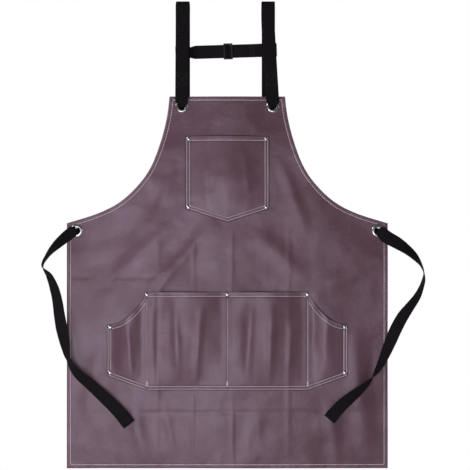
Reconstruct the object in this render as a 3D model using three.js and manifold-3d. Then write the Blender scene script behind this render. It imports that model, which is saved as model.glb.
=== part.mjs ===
// Split-leather work apron with webbing shoulder straps, hung up by its straps.
// Millimetres. X runs across the apron, -Y is the front, +Z is up.
// The origin is on the axis of the rail that both shoulder straps fold over.

import * as THREE from 'three';
import { mergeVertices } from 'three/addons/utils/BufferGeometryUtils.js';
import Module from 'manifold-3d';

const wasm = await Module();
wasm.setup();

// ---- Driving dimensions ----------------------------------------------------

// Clearances between pieces
const SEAM_GAP = 0.3;
const HOLE_GAP = 0.3;
const LOOP_GAP = 0.4;

// How far sewn layers of webbing sink into each other
const STRAP_SEWN_OVERLAP = 0.2;
const LINK_SEWN_OVERLAP = 0.1;

// Rail and webbing
const RAIL_RADIUS = 6;
const RAIL_GAP = 0.5;
const WEBBING_WIDTH = 25;
const WEBBING_THICKNESS = 1.8;
const GATHERED_THICKNESS = 3;
const GATHERED_ROOM = 0.742;

// Panel
const LEATHER = 1.6;
const HEM_WIDTH = 8;
const BIB_TOP_Z = -170;
const BIB_HALF_WIDTH = 108;
const PANEL_HALF_WIDTH = 300;
const ARMHOLE_DEPTH = 237;
const ARMHOLE_LAST_POINT = { across: 0.69, down: 0.92 };
const PANEL_HEIGHT = 695;
const STRAP_TO_PANEL = 1;

// Eyelets
const BIB_EYELET_X = 85;
const BIB_EYELET_DROP = 18.5;
const WAIST_EYELET_INSET = 18;
const WAIST_EYELET_TO_ARMHOLE = 18.8;
const EYELET_BORE_RADIUS = 6.25;
const EYELET_WALL = 0.55;
const EYELET_FLANGE_RADIUS = 11.75;
const EYELET_FLANGE_THICKNESS = 1.2;
const EYELET_LIP_RADIUS = 8.7;
const EYELET_LIP_HEIGHT = 0.8;
const WASHER_RADIUS = 9.8;
const WASHER_THICKNESS = 0.9;

// Pockets
const POCKET_LEATHER = 1.4;
const CHEST_WIDTH = 156;
const CHEST_SIDE_HEIGHT = 136;
const CHEST_POINT_DEPTH = 25;
const CHEST_DROP = 74;
const CHEST_SLACK = 12;
const WAIST_DROP = 365;
const WAIST_HEIGHT = 184;
const CENTRE_POCKET_WIDTH = 150;
const SIDE_POCKET_WIDTH = 75;
const SIDE_MOUTH_DROP = 61;
const SIDE_MOUTH_CURVE = 2.2;
const SIDE_CORNER_RISE = 27;
const CENTRE_SLACK = 12;
const SIDE_SLACK = 9;

// Rivets
const RIVET_CAP_RADIUS = 3.9;
const RIVET_CAP_HEIGHT = 1.7;
const RIVET_POST_RADIUS = 1.5;
const RIVET_BACK_RADIUS = 3.5;
const RIVET_BACK_HEIGHT = 1.6;
const RIVET_SOCKET_DEPTH = 0.9;
const RIVET_INSET = 5.5;
const RIVET_TO_SEAM_EDGE = 0.5;

// Facets round an eyelet and round a rivet, and the length of a hole's cutter
const ROUND_SEGMENTS = 24;
const RIVET_SEGMENTS = 12;
const CUTTER_LENGTH = 40;

// Shoulder straps
const STRAP_TOP_X = { left: -84, right: 76 };
const STRAP_BACK_X = { left: -82.5, right: 77 };
const BACK_RUN_LENGTH = 290;
const BACK_RUN_LEVEL = 50;
const TAIL_LENGTH = 46;

// Link between the back runs, and its slider
const LINK_THICKNESS = 1.2;
const LINK_DROP = 84.5;
const LINK_TILT_DEG = 1.8;
const LINK_END_ROOM = { left: 0, right: 1 };
const LINK_TAIL_X = -66;
const LINK_SEWN_X = 41;
const SLIDER_X = 1.5;
const SLIDER_WIDTH = 17;
const SLIDER_RIM = 2;
const SLIDER_BAR_WIDTH = 3;
const SLIDER_BAR_THICKNESS = 1.4;
const SLIDER_BAR_ROOT = 0.5;

// ---- Dimensions that follow ------------------------------------------------

const FOLD_RADIUS = RAIL_RADIUS + RAIL_GAP + WEBBING_THICKNESS / 2;
const PANEL_FRONT_Y = STRAP_TO_PANEL - FOLD_RADIUS + WEBBING_THICKNESS / 2;
const PANEL_BACK_Y = PANEL_FRONT_Y + LEATHER;
const HEM_Z = BIB_TOP_Z - PANEL_HEIGHT;
const EYELET_LIP_Y = PANEL_BACK_Y + WASHER_THICKNESS + 2 * SEAM_GAP;
const EYELET_BACK_Y = EYELET_LIP_Y + EYELET_LIP_HEIGHT;
const EYELET_FRONT_Y = PANEL_FRONT_Y - SEAM_GAP - EYELET_FLANGE_THICKNESS;
const POCKET_FRONT_Y = PANEL_FRONT_Y - SEAM_GAP - POCKET_LEATHER;
const SEAM_WIDTH = RIVET_INSET + RIVET_CAP_RADIUS + RIVET_TO_SEAM_EDGE;
const CHEST_TOP_Z = BIB_TOP_Z - CHEST_DROP;
const WAIST_TOP_Z = BIB_TOP_Z - WAIST_DROP;
const WAIST_HALF_WIDTH = CENTRE_POCKET_WIDTH + SIDE_POCKET_WIDTH;
const BIB_EYELET_Z = BIB_TOP_Z - BIB_EYELET_DROP;
const WAIST_EYELET_X = PANEL_HALF_WIDTH - WAIST_EYELET_INSET;
const SIDES = { left: -1, right: 1 };

// The waist eyelets keep their distance from the armhole's edge, whatever its slope
const ARMHOLE_END_SLOPE = ((1 - ARMHOLE_LAST_POINT.down) * ARMHOLE_DEPTH)
  / ((1 - ARMHOLE_LAST_POINT.across) * (PANEL_HALF_WIDTH - BIB_HALF_WIDTH));
const WAIST_EYELET_DROP = WAIST_EYELET_TO_ARMHOLE * Math.hypot(1, ARMHOLE_END_SLOPE)
  - WAIST_EYELET_INSET * ARMHOLE_END_SLOPE;
const WAIST_EYELET_Z = BIB_TOP_Z - ARMHOLE_DEPTH - WAIST_EYELET_DROP;

// Webbing is gathered in an eyelet until its corners clear the bore
const GATHERED_WIDTH = 2 * Math.sqrt(
  (EYELET_BORE_RADIUS - GATHERED_ROOM) ** 2 - (GATHERED_THICKNESS / 2) ** 2,
);

const EYELETS = [
  { name: 'left_bib', x: -BIB_EYELET_X, z: BIB_EYELET_Z },
  { name: 'right_bib', x: BIB_EYELET_X, z: BIB_EYELET_Z },
  { name: 'left_waist', x: -WAIST_EYELET_X, z: WAIST_EYELET_Z },
  { name: 'right_waist', x: WAIST_EYELET_X, z: WAIST_EYELET_Z },
];

const CHEST_RIVET_X = CHEST_WIDTH / 2 - RIVET_INSET;
const CHEST_RIVETS = [-1, 1].flatMap((side) => [
  { x: side * CHEST_RIVET_X, z: CHEST_TOP_Z - RIVET_INSET },
  { x: side * CHEST_RIVET_X, z: CHEST_TOP_Z - CHEST_SIDE_HEIGHT + RIVET_INSET / 2 },
]);

const WAIST_BOTTOM_Z = WAIST_TOP_Z - WAIST_HEIGHT;
const SIDE_RIVET_X = WAIST_HALF_WIDTH - RIVET_INSET;
const WAIST_RIVETS = [
  ...[-1, 0, 1].map((side) => ({ x: side * CENTRE_POCKET_WIDTH, z: WAIST_TOP_Z - RIVET_INSET })),
  ...[-1, 1].flatMap((side) => [
    { x: side * SIDE_RIVET_X, z: WAIST_TOP_Z - SIDE_MOUTH_DROP - RIVET_INSET },
    { x: side * SIDE_RIVET_X, z: WAIST_BOTTOM_Z + SIDE_CORNER_RISE + RIVET_INSET },
  ]),
];

// ---- Materials -------------------------------------------------------------

const finish = (color, roughness, metalness = 0) =>
  new THREE.MeshStandardMaterial({ color, roughness, metalness });

const FINISH = {
  leather: () => finish(0x6b5460, 0.55),
  webbing: () => finish(0x1c191c, 0.85),
  nickel: () => finish(0xc9c9cc, 0.25, 1),
  plastic: () => finish(0x141316, 0.45),
};

// ---- Solid helpers ---------------------------------------------------------

// Turns any closed geometry into a solid that manifold-3d can join and cut.
function solid(geometry) {
  const bare = geometry.clone();
  bare.deleteAttribute('normal');
  bare.deleteAttribute('uv');
  const merged = mergeVertices(bare, 1e-4);
  const vertProperties = new Float32Array(merged.attributes.position.array);
  const triVerts = new Uint32Array(merged.index.array);
  return new wasm.Manifold(new wasm.Mesh({ numProp: 3, vertProperties, triVerts }));
}

// Turns a solid back into a geometry for a mesh.
function geometryOf(manifold) {
  const { vertProperties, triVerts } = manifold.getMesh();
  const geometry = new THREE.BufferGeometry();
  geometry.setAttribute('position', new THREE.BufferAttribute(vertProperties, 3));
  geometry.setIndex(new THREE.BufferAttribute(triVerts, 1));
  geometry.computeVertexNormals();
  return geometry;
}

// A closed geometry from points and triangles, turned so that its faces point out.
function closedGeometry(points, triangles) {
  let volume = 0;
  for (const [a, b, c] of triangles) {
    volume += points[a].dot(new THREE.Vector3().crossVectors(points[b], points[c]));
  }
  const turned = volume > 0 ? triangles : triangles.map(([a, b, c]) => [a, c, b]);
  const geometry = new THREE.BufferGeometry().setFromPoints(points);
  geometry.setIndex(turned.flat());
  geometry.computeVertexNormals();
  return geometry;
}

// A flat plate in the XZ plane, from its front face backwards.
function plate(outline, frontY, thickness, holes = []) {
  const shape = new THREE.Shape(outline);
  shape.holes = holes.map((points) => new THREE.Path(points));
  const geometry = new THREE.ExtrudeGeometry(shape, { depth: thickness, bevelEnabled: false });
  geometry.rotateX(Math.PI / 2);
  geometry.translate(0, frontY + thickness, 0);
  return geometry;
}

// A round profile of (radius, depth) pairs turned about an axis along Y.
function turnedAlongY(profile, segments) {
  const points = profile.map(([radius, depth]) => new THREE.Vector2(radius, depth));
  return new THREE.LatheGeometry(points, segments);
}

// Straight round cutters along Y, right through the leather, at each place.
function punched(body, places, radius) {
  let cut = body;
  for (const { x, z } of places) {
    const cutter = new THREE.CylinderGeometry(radius, radius, CUTTER_LENGTH, ROUND_SEGMENTS);
    cutter.translate(x, PANEL_FRONT_Y, z);
    cut = cut.subtract(solid(cutter));
  }
  return cut;
}

// A closed outline moved inwards by a distance, corner by corner.
function inset(outline, distance) {
  const count = outline.length;
  return outline.map((point, i) => {
    const before = outline[(i + count - 1) % count];
    const after = outline[(i + 1) % count];
    const into = point.clone().sub(before).normalize();
    const out = after.clone().sub(point).normalize();
    const normalIn = new THREE.Vector2(-into.y, into.x);
    const normalOut = new THREE.Vector2(-out.y, out.x);
    const mitre = normalIn.clone().add(normalOut).normalize();
    return point.clone().addScaledVector(mitre, distance / mitre.dot(normalIn));
  });
}

// Slices of a flat strap that runs along stations of { at, across, width, thick }.
// The curve passes through every station, with `steps` slices between two of them.
function slicesAlong(stations, steps) {
  const curve = new THREE.CatmullRomCurve3(stations.map((s) => s.at), false, 'centripetal');
  const last = stations.length - 1;
  const slices = [];
  for (let i = 0; i <= last * steps; i += 1) {
    const place = i / steps;
    const from = stations[Math.min(Math.floor(place), last - 1)];
    const to = stations[Math.min(Math.floor(place), last - 1) + 1];
    const share = place - Math.min(Math.floor(place), last - 1);
    const along = curve.getTangent(place / last);
    const across = from.across.clone().lerp(to.across, share);
    across.addScaledVector(along, -across.dot(along)).normalize();
    const outward = new THREE.Vector3().crossVectors(along, across);
    slices.push({
      at: curve.getPoint(place / last),
      half: across.multiplyScalar(THREE.MathUtils.lerp(from.width, to.width, share) / 2),
      rise: outward.multiplyScalar(THREE.MathUtils.lerp(from.thick, to.thick, share) / 2),
    });
  }
  return slices;
}

// A strap that never lies on itself.
function ribbon(stations, steps = 3) {
  return sectionSweep(slicesAlong(stations, steps));
}

// A strap sewn to itself: swept in lengths that end at the given stations, then joined.
function sewnRibbon(stations, ends, steps = 3) {
  const slices = slicesAlong(stations, steps);
  const cuts = [0, ...ends.map((end) => end * steps), slices.length - 1];
  const lengths = cuts.slice(1).map((cut, i) => solid(sectionSweep(slices.slice(cuts[i], cut + 1))));
  return lengths.reduce((strap, length) => strap.add(length));
}

// Joins four-cornered slices into one closed strap.
function sectionSweep(slices) {
  const corners = [[1, 1], [-1, 1], [-1, -1], [1, -1]];
  const points = slices.flatMap(({ at, half, rise }) =>
    corners.map(([u, v]) => at.clone().addScaledVector(half, u).addScaledVector(rise, v)));
  const end = (slices.length - 1) * 4;
  const triangles = [[0, 1, 2], [0, 2, 3], [end, end + 2, end + 1], [end, end + 3, end + 2]];
  for (let ring = 0; ring < end; ring += 4) {
    for (let side = 0; side < 4; side += 1) {
      const a = ring + side;
      const b = ring + ((side + 1) % 4);
      triangles.push([a, a + 4, b], [b, a + 4, b + 4]);
    }
  }
  return closedGeometry(points, triangles);
}

// ---- Panel -----------------------------------------------------------------

// The right edge from the bib's top corner round the armhole to the waist corner.
function armholeCurve() {
  const points = [
    [BIB_HALF_WIDTH, 0],
    [BIB_HALF_WIDTH + 5, 0.165 * ARMHOLE_DEPTH],
    [BIB_HALF_WIDTH + 16, 0.35 * ARMHOLE_DEPTH],
    [BIB_HALF_WIDTH + 33, 0.54 * ARMHOLE_DEPTH],
    [BIB_HALF_WIDTH + 0.29 * (PANEL_HALF_WIDTH - BIB_HALF_WIDTH), 0.685 * ARMHOLE_DEPTH],
    [BIB_HALF_WIDTH + 0.47 * (PANEL_HALF_WIDTH - BIB_HALF_WIDTH), 0.825 * ARMHOLE_DEPTH],
    [
      BIB_HALF_WIDTH + ARMHOLE_LAST_POINT.across * (PANEL_HALF_WIDTH - BIB_HALF_WIDTH),
      ARMHOLE_LAST_POINT.down * ARMHOLE_DEPTH,
    ],
    [PANEL_HALF_WIDTH, ARMHOLE_DEPTH],
  ].map(([x, depth]) => new THREE.Vector2(x, BIB_TOP_Z - depth));
  return new THREE.SplineCurve(points).getPoints(21);
}

// Anticlockwise, seen from the front.
function panelOutline() {
  const right = armholeCurve();
  const left = right.map((point) => new THREE.Vector2(-point.x, point.y));
  const hem = [new THREE.Vector2(-PANEL_HALF_WIDTH, HEM_Z), new THREE.Vector2(PANEL_HALF_WIDTH, HEM_Z)];
  return [...left, ...hem, ...right.reverse()];
}

// One leather piece whose edge is turned to the back all round and stitched down.
function apronPanel() {
  const outline = panelOutline();
  const sheet = solid(plate(outline, PANEL_FRONT_Y, LEATHER));
  const turnedEdge = plate(outline, PANEL_BACK_Y - SEAM_GAP, LEATHER + SEAM_GAP, [inset(outline, HEM_WIDTH)]);
  const hemmed = sheet.add(solid(turnedEdge));
  const eyeletHole = EYELET_BORE_RADIUS + EYELET_WALL + HOLE_GAP;
  const rivetHole = RIVET_POST_RADIUS + HOLE_GAP;
  const cut = punched(punched(hemmed, EYELETS, eyeletHole), [...CHEST_RIVETS, ...WAIST_RIVETS], rivetHole);
  return geometryOf(cut);
}

// ---- Pockets ---------------------------------------------------------------

// How far a pocket stands off its seams: flat on the seams, full at the mouth's middle.
function slack(fromLeftSeam, width, depthShare, most) {
  const free = THREE.MathUtils.clamp((fromLeftSeam - SEAM_WIDTH) / (width - 2 * SEAM_WIDTH), 0, 1);
  return most * Math.sin(Math.PI * free) ** 1.3 * (1 - depthShare ** 3);
}

// A pocket's leather as a grid of columns { x, top, bottom, stand(share) }.
function pocketShell(columns, rows) {
  const front = [];
  const back = [];
  for (const column of columns) {
    for (let row = 0; row <= rows; row += 1) {
      const share = row / rows;
      const z = THREE.MathUtils.lerp(column.top, column.bottom, share);
      const y = POCKET_FRONT_Y - column.stand(share);
      front.push(new THREE.Vector3(column.x, y, z));
      back.push(new THREE.Vector3(column.x, y + POCKET_LEATHER, z));
    }
  }
  const stride = rows + 1;
  const shift = front.length;
  const triangles = [];
  const quad = (a, b, c, d) => triangles.push([a, b, c], [a, c, d]);
  for (let i = 0; i < columns.length - 1; i += 1) {
    for (let j = 0; j < rows; j += 1) {
      const a = i * stride + j;
      quad(a, a + 1, a + stride + 1, a + stride);
      quad(a + shift, a + stride + shift, a + stride + 1 + shift, a + 1 + shift);
    }
    const top = i * stride;
    const bottom = top + rows;
    quad(top, top + stride, top + stride + shift, top + shift);
    quad(bottom, bottom + shift, bottom + stride + shift, bottom + stride);
  }
  const end = (columns.length - 1) * stride;
  for (let j = 0; j < rows; j += 1) {
    quad(j, j + shift, j + 1 + shift, j + 1);
    quad(end + j, end + j + 1, end + j + 1 + shift, end + j + shift);
  }
  return closedGeometry([...front, ...back], triangles);
}

// The chest pocket, straight at its mouth and pointed at its foot.
function chestPocket() {
  const count = 20;
  const columns = [];
  for (let i = 0; i <= count; i += 1) {
    const x = CHEST_WIDTH * (i / count - 0.5);
    const point = CHEST_POINT_DEPTH * (1 - Math.abs(x) / (CHEST_WIDTH / 2));
    columns.push({
      x,
      top: CHEST_TOP_Z,
      bottom: CHEST_TOP_Z - CHEST_SIDE_HEIGHT - point,
      stand: (share) => slack(x + CHEST_WIDTH / 2, CHEST_WIDTH, share, CHEST_SLACK),
    });
  }
  const shell = solid(pocketShell(columns, 10));
  return geometryOf(punched(shell, CHEST_RIVETS, RIVET_POST_RADIUS + HOLE_GAP));
}

// One side of the waist strip: a centre pocket, then a side pocket with a scooped mouth.
function waistColumns(side) {
  const columns = [];
  const centreCount = 14;
  for (let i = 0; i <= centreCount; i += 1) {
    const out = CENTRE_POCKET_WIDTH * (i / centreCount);
    columns.push({
      x: side * out,
      top: WAIST_TOP_Z,
      bottom: WAIST_BOTTOM_Z,
      stand: (share) => slack(out, CENTRE_POCKET_WIDTH, share, CENTRE_SLACK),
    });
  }
  const sideCount = 24;
  for (let i = 1; i <= sideCount; i += 1) {
    const across = i / sideCount;
    columns.push({
      x: side * (CENTRE_POCKET_WIDTH + SIDE_POCKET_WIDTH * across),
      top: WAIST_TOP_Z - SIDE_MOUTH_DROP * (1 - (1 - across) ** SIDE_MOUTH_CURVE),
      bottom: WAIST_BOTTOM_Z + SIDE_CORNER_RISE * across,
      stand: (share) => slack(across * SIDE_POCKET_WIDTH, SIDE_POCKET_WIDTH, share, SIDE_SLACK),
    });
  }
  return columns;
}

// One strip of leather stitched down into four pockets.
function waistPocket() {
  const left = waistColumns(-1).reverse();
  const right = waistColumns(1).slice(1);
  const shell = solid(pocketShell([...left, ...right], 10));
  return geometryOf(punched(shell, WAIST_RIVETS, RIVET_POST_RADIUS + HOLE_GAP));
}

// ---- Eyelets and rivets ----------------------------------------------------

// A flanged ring whose barrel goes through the leather and is rolled over a washer.
function eyelet() {
  const inner = EYELET_BORE_RADIUS;
  const outer = EYELET_BORE_RADIUS + EYELET_WALL;
  const seat = PANEL_FRONT_Y - SEAM_GAP;
  return turnedAlongY([
    [inner, EYELET_FRONT_Y + 0.5],
    [inner + 1, EYELET_FRONT_Y],
    [EYELET_FLANGE_RADIUS - 1.6, EYELET_FRONT_Y + 0.1],
    [EYELET_FLANGE_RADIUS, seat - 0.3],
    [EYELET_FLANGE_RADIUS - 0.2, seat],
    [outer, seat],
    [outer, EYELET_LIP_Y],
    [EYELET_LIP_RADIUS, EYELET_LIP_Y],
    [outer, EYELET_BACK_Y],
    [inner, EYELET_BACK_Y - 0.4],
    [inner, EYELET_FRONT_Y + 0.5],
  ], ROUND_SEGMENTS);
}

function eyeletWasher() {
  const bore = EYELET_BORE_RADIUS + EYELET_WALL + HOLE_GAP;
  const near = PANEL_BACK_Y + SEAM_GAP;
  const far = near + WASHER_THICKNESS;
  return turnedAlongY([
    [bore, near],
    [WASHER_RADIUS, near],
    [WASHER_RADIUS, near + 0.4],
    [WASHER_RADIUS - 1, far],
    [bore, far],
    [bore, near],
  ], ROUND_SEGMENTS);
}

// A domed cap with the post that goes through pocket and panel.
function rivetCap() {
  const seat = POCKET_FRONT_Y - SEAM_GAP;
  const postEnd = PANEL_BACK_Y + RIVET_SOCKET_DEPTH;
  return turnedAlongY([
    [0, seat - RIVET_CAP_HEIGHT],
    [0.5 * RIVET_CAP_RADIUS, seat - 0.85 * RIVET_CAP_HEIGHT],
    [0.85 * RIVET_CAP_RADIUS, seat - 0.5 * RIVET_CAP_HEIGHT],
    [RIVET_CAP_RADIUS, seat],
    [RIVET_POST_RADIUS, seat],
    [RIVET_POST_RADIUS, postEnd],
    [0, postEnd],
  ], RIVET_SEGMENTS);
}

// The cap that is pressed on the post behind the panel.
function rivetBack() {
  const near = PANEL_BACK_Y + SEAM_GAP;
  const socket = RIVET_POST_RADIUS + HOLE_GAP;
  return turnedAlongY([
    [0, near + RIVET_SOCKET_DEPTH],
    [socket, near + RIVET_SOCKET_DEPTH],
    [socket, near],
    [RIVET_BACK_RADIUS, near],
    [RIVET_BACK_RADIUS, near + 0.5],
    [0.7 * RIVET_BACK_RADIUS, near + 0.85 * RIVET_BACK_HEIGHT],
    [0, near + RIVET_BACK_HEIGHT],
  ], RIVET_SEGMENTS);
}

// ---- Shoulder straps -------------------------------------------------------

const station = (x, y, z, across, width = WEBBING_WIDTH, thick = WEBBING_THICKNESS) =>
  ({ at: new THREE.Vector3(x, y, z), across, width, thick });

// The station of the route below that lies inside the bib eyelet
const BIB_EYELET_STATION = 7;

// From the tail sewn behind the strap, through the bib eyelet, over the rail, down the
// back and into the waist eyelet from behind.
function shoulderStrap(name) {
  const side = SIDES[name];
  const eyeletX = side * BIB_EYELET_X;
  const topX = STRAP_TOP_X[name];
  const backX = STRAP_BACK_X[name];
  const flat = new THREE.Vector3(1, 0, 0);
  const frontY = -FOLD_RADIUS;
  const sewnY = frontY + WEBBING_THICKNESS - STRAP_SEWN_OVERLAP;
  const behindY = EYELET_BACK_Y + 0.4 + WEBBING_THICKNESS / 2;
  const overRimY = EYELET_FRONT_Y - 0.4 - GATHERED_THICKNESS / 2;
  const gathered = [GATHERED_WIDTH, GATHERED_THICKNESS];
  const drift = (share) => eyeletX + (topX - eyeletX) * share;
  const middleY = (PANEL_FRONT_Y + PANEL_BACK_Y) / 2;
  const route = [
    station(drift(0.44), sewnY, BIB_TOP_Z + TAIL_LENGTH, flat),
    station(drift(0.22), sewnY, BIB_TOP_Z + 16, flat),
    station(drift(0.12), (sewnY + behindY) / 2 + 1, BIB_TOP_Z + 8, flat, WEBBING_WIDTH - 2),
    station(eyeletX, behindY, BIB_TOP_Z, flat, 21),
    station(eyeletX, behindY + 0.4, BIB_EYELET_Z + 9, flat, 14, 2.4),
    station(eyeletX, behindY + 0.6, BIB_EYELET_Z + 3, flat, ...gathered),
    station(eyeletX, EYELET_BACK_Y - 0.4, BIB_EYELET_Z + 0.7, flat, ...gathered),
    station(eyeletX, middleY, BIB_EYELET_Z, flat, ...gathered),
    station(eyeletX, overRimY + 0.6, BIB_EYELET_Z + 1.6, flat, ...gathered),
    station(eyeletX, overRimY, BIB_EYELET_Z + 6, flat, 15, 2.6),
    station(eyeletX, overRimY, BIB_EYELET_Z + 12, flat, 22, 2),
    station(drift(0.15), frontY - 0.5, BIB_TOP_Z + 4, flat),
    station(drift(0.4), frontY, BIB_TOP_Z + 40, flat),
    station(topX, frontY, -30, flat),
  ];
  for (let i = 0; i <= 6; i += 1) {
    const angle = Math.PI * (1 - i / 6);
    const y = FOLD_RADIUS * Math.cos(angle);
    route.push(station(topX + (backX - topX) * (i / 6), y, FOLD_RADIUS * Math.sin(angle), flat));
  }
  route.push(station(backX, FOLD_RADIUS, -30, flat));
  route.push(station(backX, FOLD_RADIUS, -0.6 * BACK_RUN_LENGTH, flat));
  route.push(station(backX, FOLD_RADIUS, -0.85 * BACK_RUN_LENGTH, flat));
  route.push(...backRunToWaist(side, backX, middleY));
  return geometryOf(sewnRibbon(route, [BIB_EYELET_STATION]));
}

// The stretch that swings out behind the panel and ends inside the waist eyelet.
function backRunToWaist(side, backX, endY) {
  const end = new THREE.Vector3(side * WAIST_EYELET_X, EYELET_BACK_Y + 2.4, WAIST_EYELET_Z);
  const reachX = end.x - side * BACK_RUN_LEVEL - backX;
  const dropZ = end.z + BACK_RUN_LENGTH;
  const sweep = [0, 1, 2, 3, 4, 5, 6].map((step) => {
    const angle = (Math.PI / 2) * (step / 6);
    const along = new THREE.Vector3(reachX * Math.sin(angle), 0, dropZ * Math.cos(angle)).normalize();
    const across = new THREE.Vector3(-along.z, 0, along.x);
    const x = backX + reachX * (1 - Math.cos(angle));
    const y = THREE.MathUtils.lerp(FOLD_RADIUS, end.y, step / 6);
    return station(x, y, -BACK_RUN_LENGTH + dropZ * Math.sin(angle), across);
  });
  const level = new THREE.Vector3(0, 0, side);
  const before = (distance, y, ...size) => station(end.x - side * distance, y, end.z, level, ...size);
  return [
    ...sweep,
    before(22, end.y, 20, 2),
    before(8, end.y, 13, 2.6),
    before(3, EYELET_BACK_Y + 1.8, GATHERED_WIDTH, GATHERED_THICKNESS),
    before(0.4, EYELET_BACK_Y - 0.2, GATHERED_WIDTH, GATHERED_THICKNESS),
    before(0, endY + SEAM_GAP / 2, GATHERED_WIDTH, GATHERED_THICKNESS),
  ];
}

// ---- Waist ties ------------------------------------------------------------

// Each tie's route from its eyelet: across, towards the front, down, and the angle in
// degrees by which the webbing stands on edge. Chosen by hand.
const TIE_ROUTES = {
  left: [
    [-9, 9, -4, 25],
    [-18, 11, -11, 38],
    [-34, 13, -25, 52],
    [-51, 14, -44, 76],
    [-62, 14.5, -66, 90],
    [-49.5, 14.5, -84, 122],
    [-40, 15, -107, 138],
    [-34, 16, -131, 144],
    [-30.5, 16.5, -155, 150],
    [-26, 17, -181, 156],
    [-20, 18.5, -209, 142],
    [-13, 21, -239, 112],
    [3.5, 19.5, -265, 138],
    [26, 17, -285, 150],
    [52, 15.5, -309, 160],
    [78, 14, -335, 168],
    [99.5, 13, -361, 172],
  ],
  right: [
    [7, 9, -4, 5],
    [14, 11, -11, 12],
    [33, 13, -22, 22],
    [51, 14, -34, 42],
    [66.5, 14.5, -47.5, 56],
    [78, 14.5, -62.5, 75],
    [84, 14.5, -78, 84],
    [83.5, 14.5, -91, 96],
    [78.5, 15, -107, 104],
    [71, 15.5, -123, 115],
    [56, 16.5, -143.5, 129],
    [45, 17.5, -158.5, 142],
    [32.5, 18, -181, 148],
    [22.5, 18.5, -203.5, 145],
    [12, 19.5, -228.5, 130],
    [3, 21, -248, 116],
    [-4.5, 22, -261, 105],
    [-18.5, 21, -280, 68],
    [-35.5, 19, -296, 47],
    [-55, 16.5, -312.5, 30],
    [-74, 14.5, -330, 18],
    [-92, 13, -351.5, 10],
  ],
};

// A tie starts inside its eyelet, where the shoulder strap ends, and hangs in front.
function waistTie(name) {
  const startX = SIDES[name] * WAIST_EYELET_X;
  const startY = (PANEL_FRONT_Y + PANEL_BACK_Y) / 2 - SEAM_GAP / 2;
  const neck = new THREE.Vector3(startX, startY, WAIST_EYELET_Z);
  const places = TIE_ROUTES[name].map(([x, out, z]) =>
    new THREE.Vector3(startX + x, PANEL_FRONT_Y - out, WAIST_EYELET_Z + z));
  const route = TIE_ROUTES[name].map(([, , , edgeAngle], i) => {
    const before = places[Math.max(i - 1, 0)];
    const after = places[Math.min(i + 1, places.length - 1)];
    const along = after.clone().sub(before).setY(0).normalize();
    const side = new THREE.Vector3(-along.z, 0, along.x);
    const angle = THREE.MathUtils.degToRad(edgeAngle);
    const across = side.multiplyScalar(Math.cos(angle));
    across.y = Math.sin(angle);
    const width = i === 0 ? 19 : WEBBING_WIDTH;
    return station(...places[i].toArray(), across, width);
  });
  const neckSize = [GATHERED_WIDTH, GATHERED_THICKNESS];
  const lead = [
    station(...neck.toArray(), route[0].across, ...neckSize),
    station(neck.x, neck.y - 3.2, neck.z, route[0].across, ...neckSize),
    station(neck.x + 0.25 * (places[0].x - neck.x), neck.y - 9, neck.z - 0.6, route[0].across, 12, 2.6),
  ];
  return ribbon([...lead, ...route], 3);
}

// ---- Link and slider -------------------------------------------------------

const LINK_FRONT_Y = FOLD_RADIUS - WEBBING_THICKNESS / 2 - LOOP_GAP - LINK_THICKNESS / 2;
const LINK_BACK_Y = 2 * FOLD_RADIUS - LINK_FRONT_Y;
const LINK_LOOP_RADIUS = FOLD_RADIUS - LINK_FRONT_Y;
const LINK_STACK_PITCH = LINK_THICKNESS - LINK_SEWN_OVERLAP;
const LINK_LAYER_Y = [-1, 0, 1].map((layer) => FOLD_RADIUS + layer * LINK_STACK_PITCH);

const linkStation = (x, y) =>
  station(x, y, 0, new THREE.Vector3(0, 0, 1), WEBBING_WIDTH, LINK_THICKNESS);

// Half a turn round a strap's edge, at the loop's outer end.
function loopTurn(centreX, side, fromFront) {
  const turn = [];
  for (let i = 0; i <= 6; i += 1) {
    const angle = Math.PI * (fromFront ? 1 - i / 6 : i / 6);
    const x = centreX + side * LINK_LOOP_RADIUS * Math.sin(angle);
    turn.push(linkStation(x, FOLD_RADIUS + LINK_LOOP_RADIUS * Math.cos(angle)));
  }
  return turn;
}

// A strip with a sewn loop round the right back run and an adjustable one round the left.
function linkStrap() {
  const [tailY, baseY, returnY] = LINK_LAYER_Y;
  const rightInner = STRAP_BACK_X.right - WEBBING_WIDTH / 2;
  const leftInner = STRAP_BACK_X.left + WEBBING_WIDTH / 2;
  const rightTurn = STRAP_BACK_X.right + WEBBING_WIDTH / 2 + LINK_END_ROOM.right;
  const leftTurn = STRAP_BACK_X.left - WEBBING_WIDTH / 2 - LINK_END_ROOM.left;
  const start = [
    linkStation(LINK_SEWN_X, baseY - LINK_STACK_PITCH / 2),
    linkStation(rightInner - 7, baseY - LINK_STACK_PITCH / 2),
    linkStation(rightInner - 1, LINK_FRONT_Y),
    ...loopTurn(rightTurn, 1, true),
  ];
  const middle = [
    linkStation(rightInner - 1, LINK_BACK_Y),
    linkStation(rightInner - 7, baseY + LINK_STACK_PITCH / 2),
    linkStation(LINK_SEWN_X, baseY + LINK_STACK_PITCH / 2),
    linkStation(LINK_SEWN_X - 20, baseY),
    linkStation(leftInner + 8, baseY),
    linkStation(leftInner + 1, LINK_FRONT_Y),
  ];
  const end = [
    ...loopTurn(leftTurn, -1, true),
    linkStation(leftInner + 1, LINK_BACK_Y),
    linkStation(leftInner + 8, returnY),
    linkStation(SLIDER_X + SLIDER_WIDTH / 2 + 11, returnY),
  ];
  const strip = sewnRibbon([...start, ...middle, ...end], [start.length, start.length + middle.length], 2);
  const tail = [linkStation(LINK_TAIL_X, tailY), linkStation(SLIDER_X, tailY)];
  return geometryOf(strip.add(solid(ribbon(tail, 1))));
}

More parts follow.
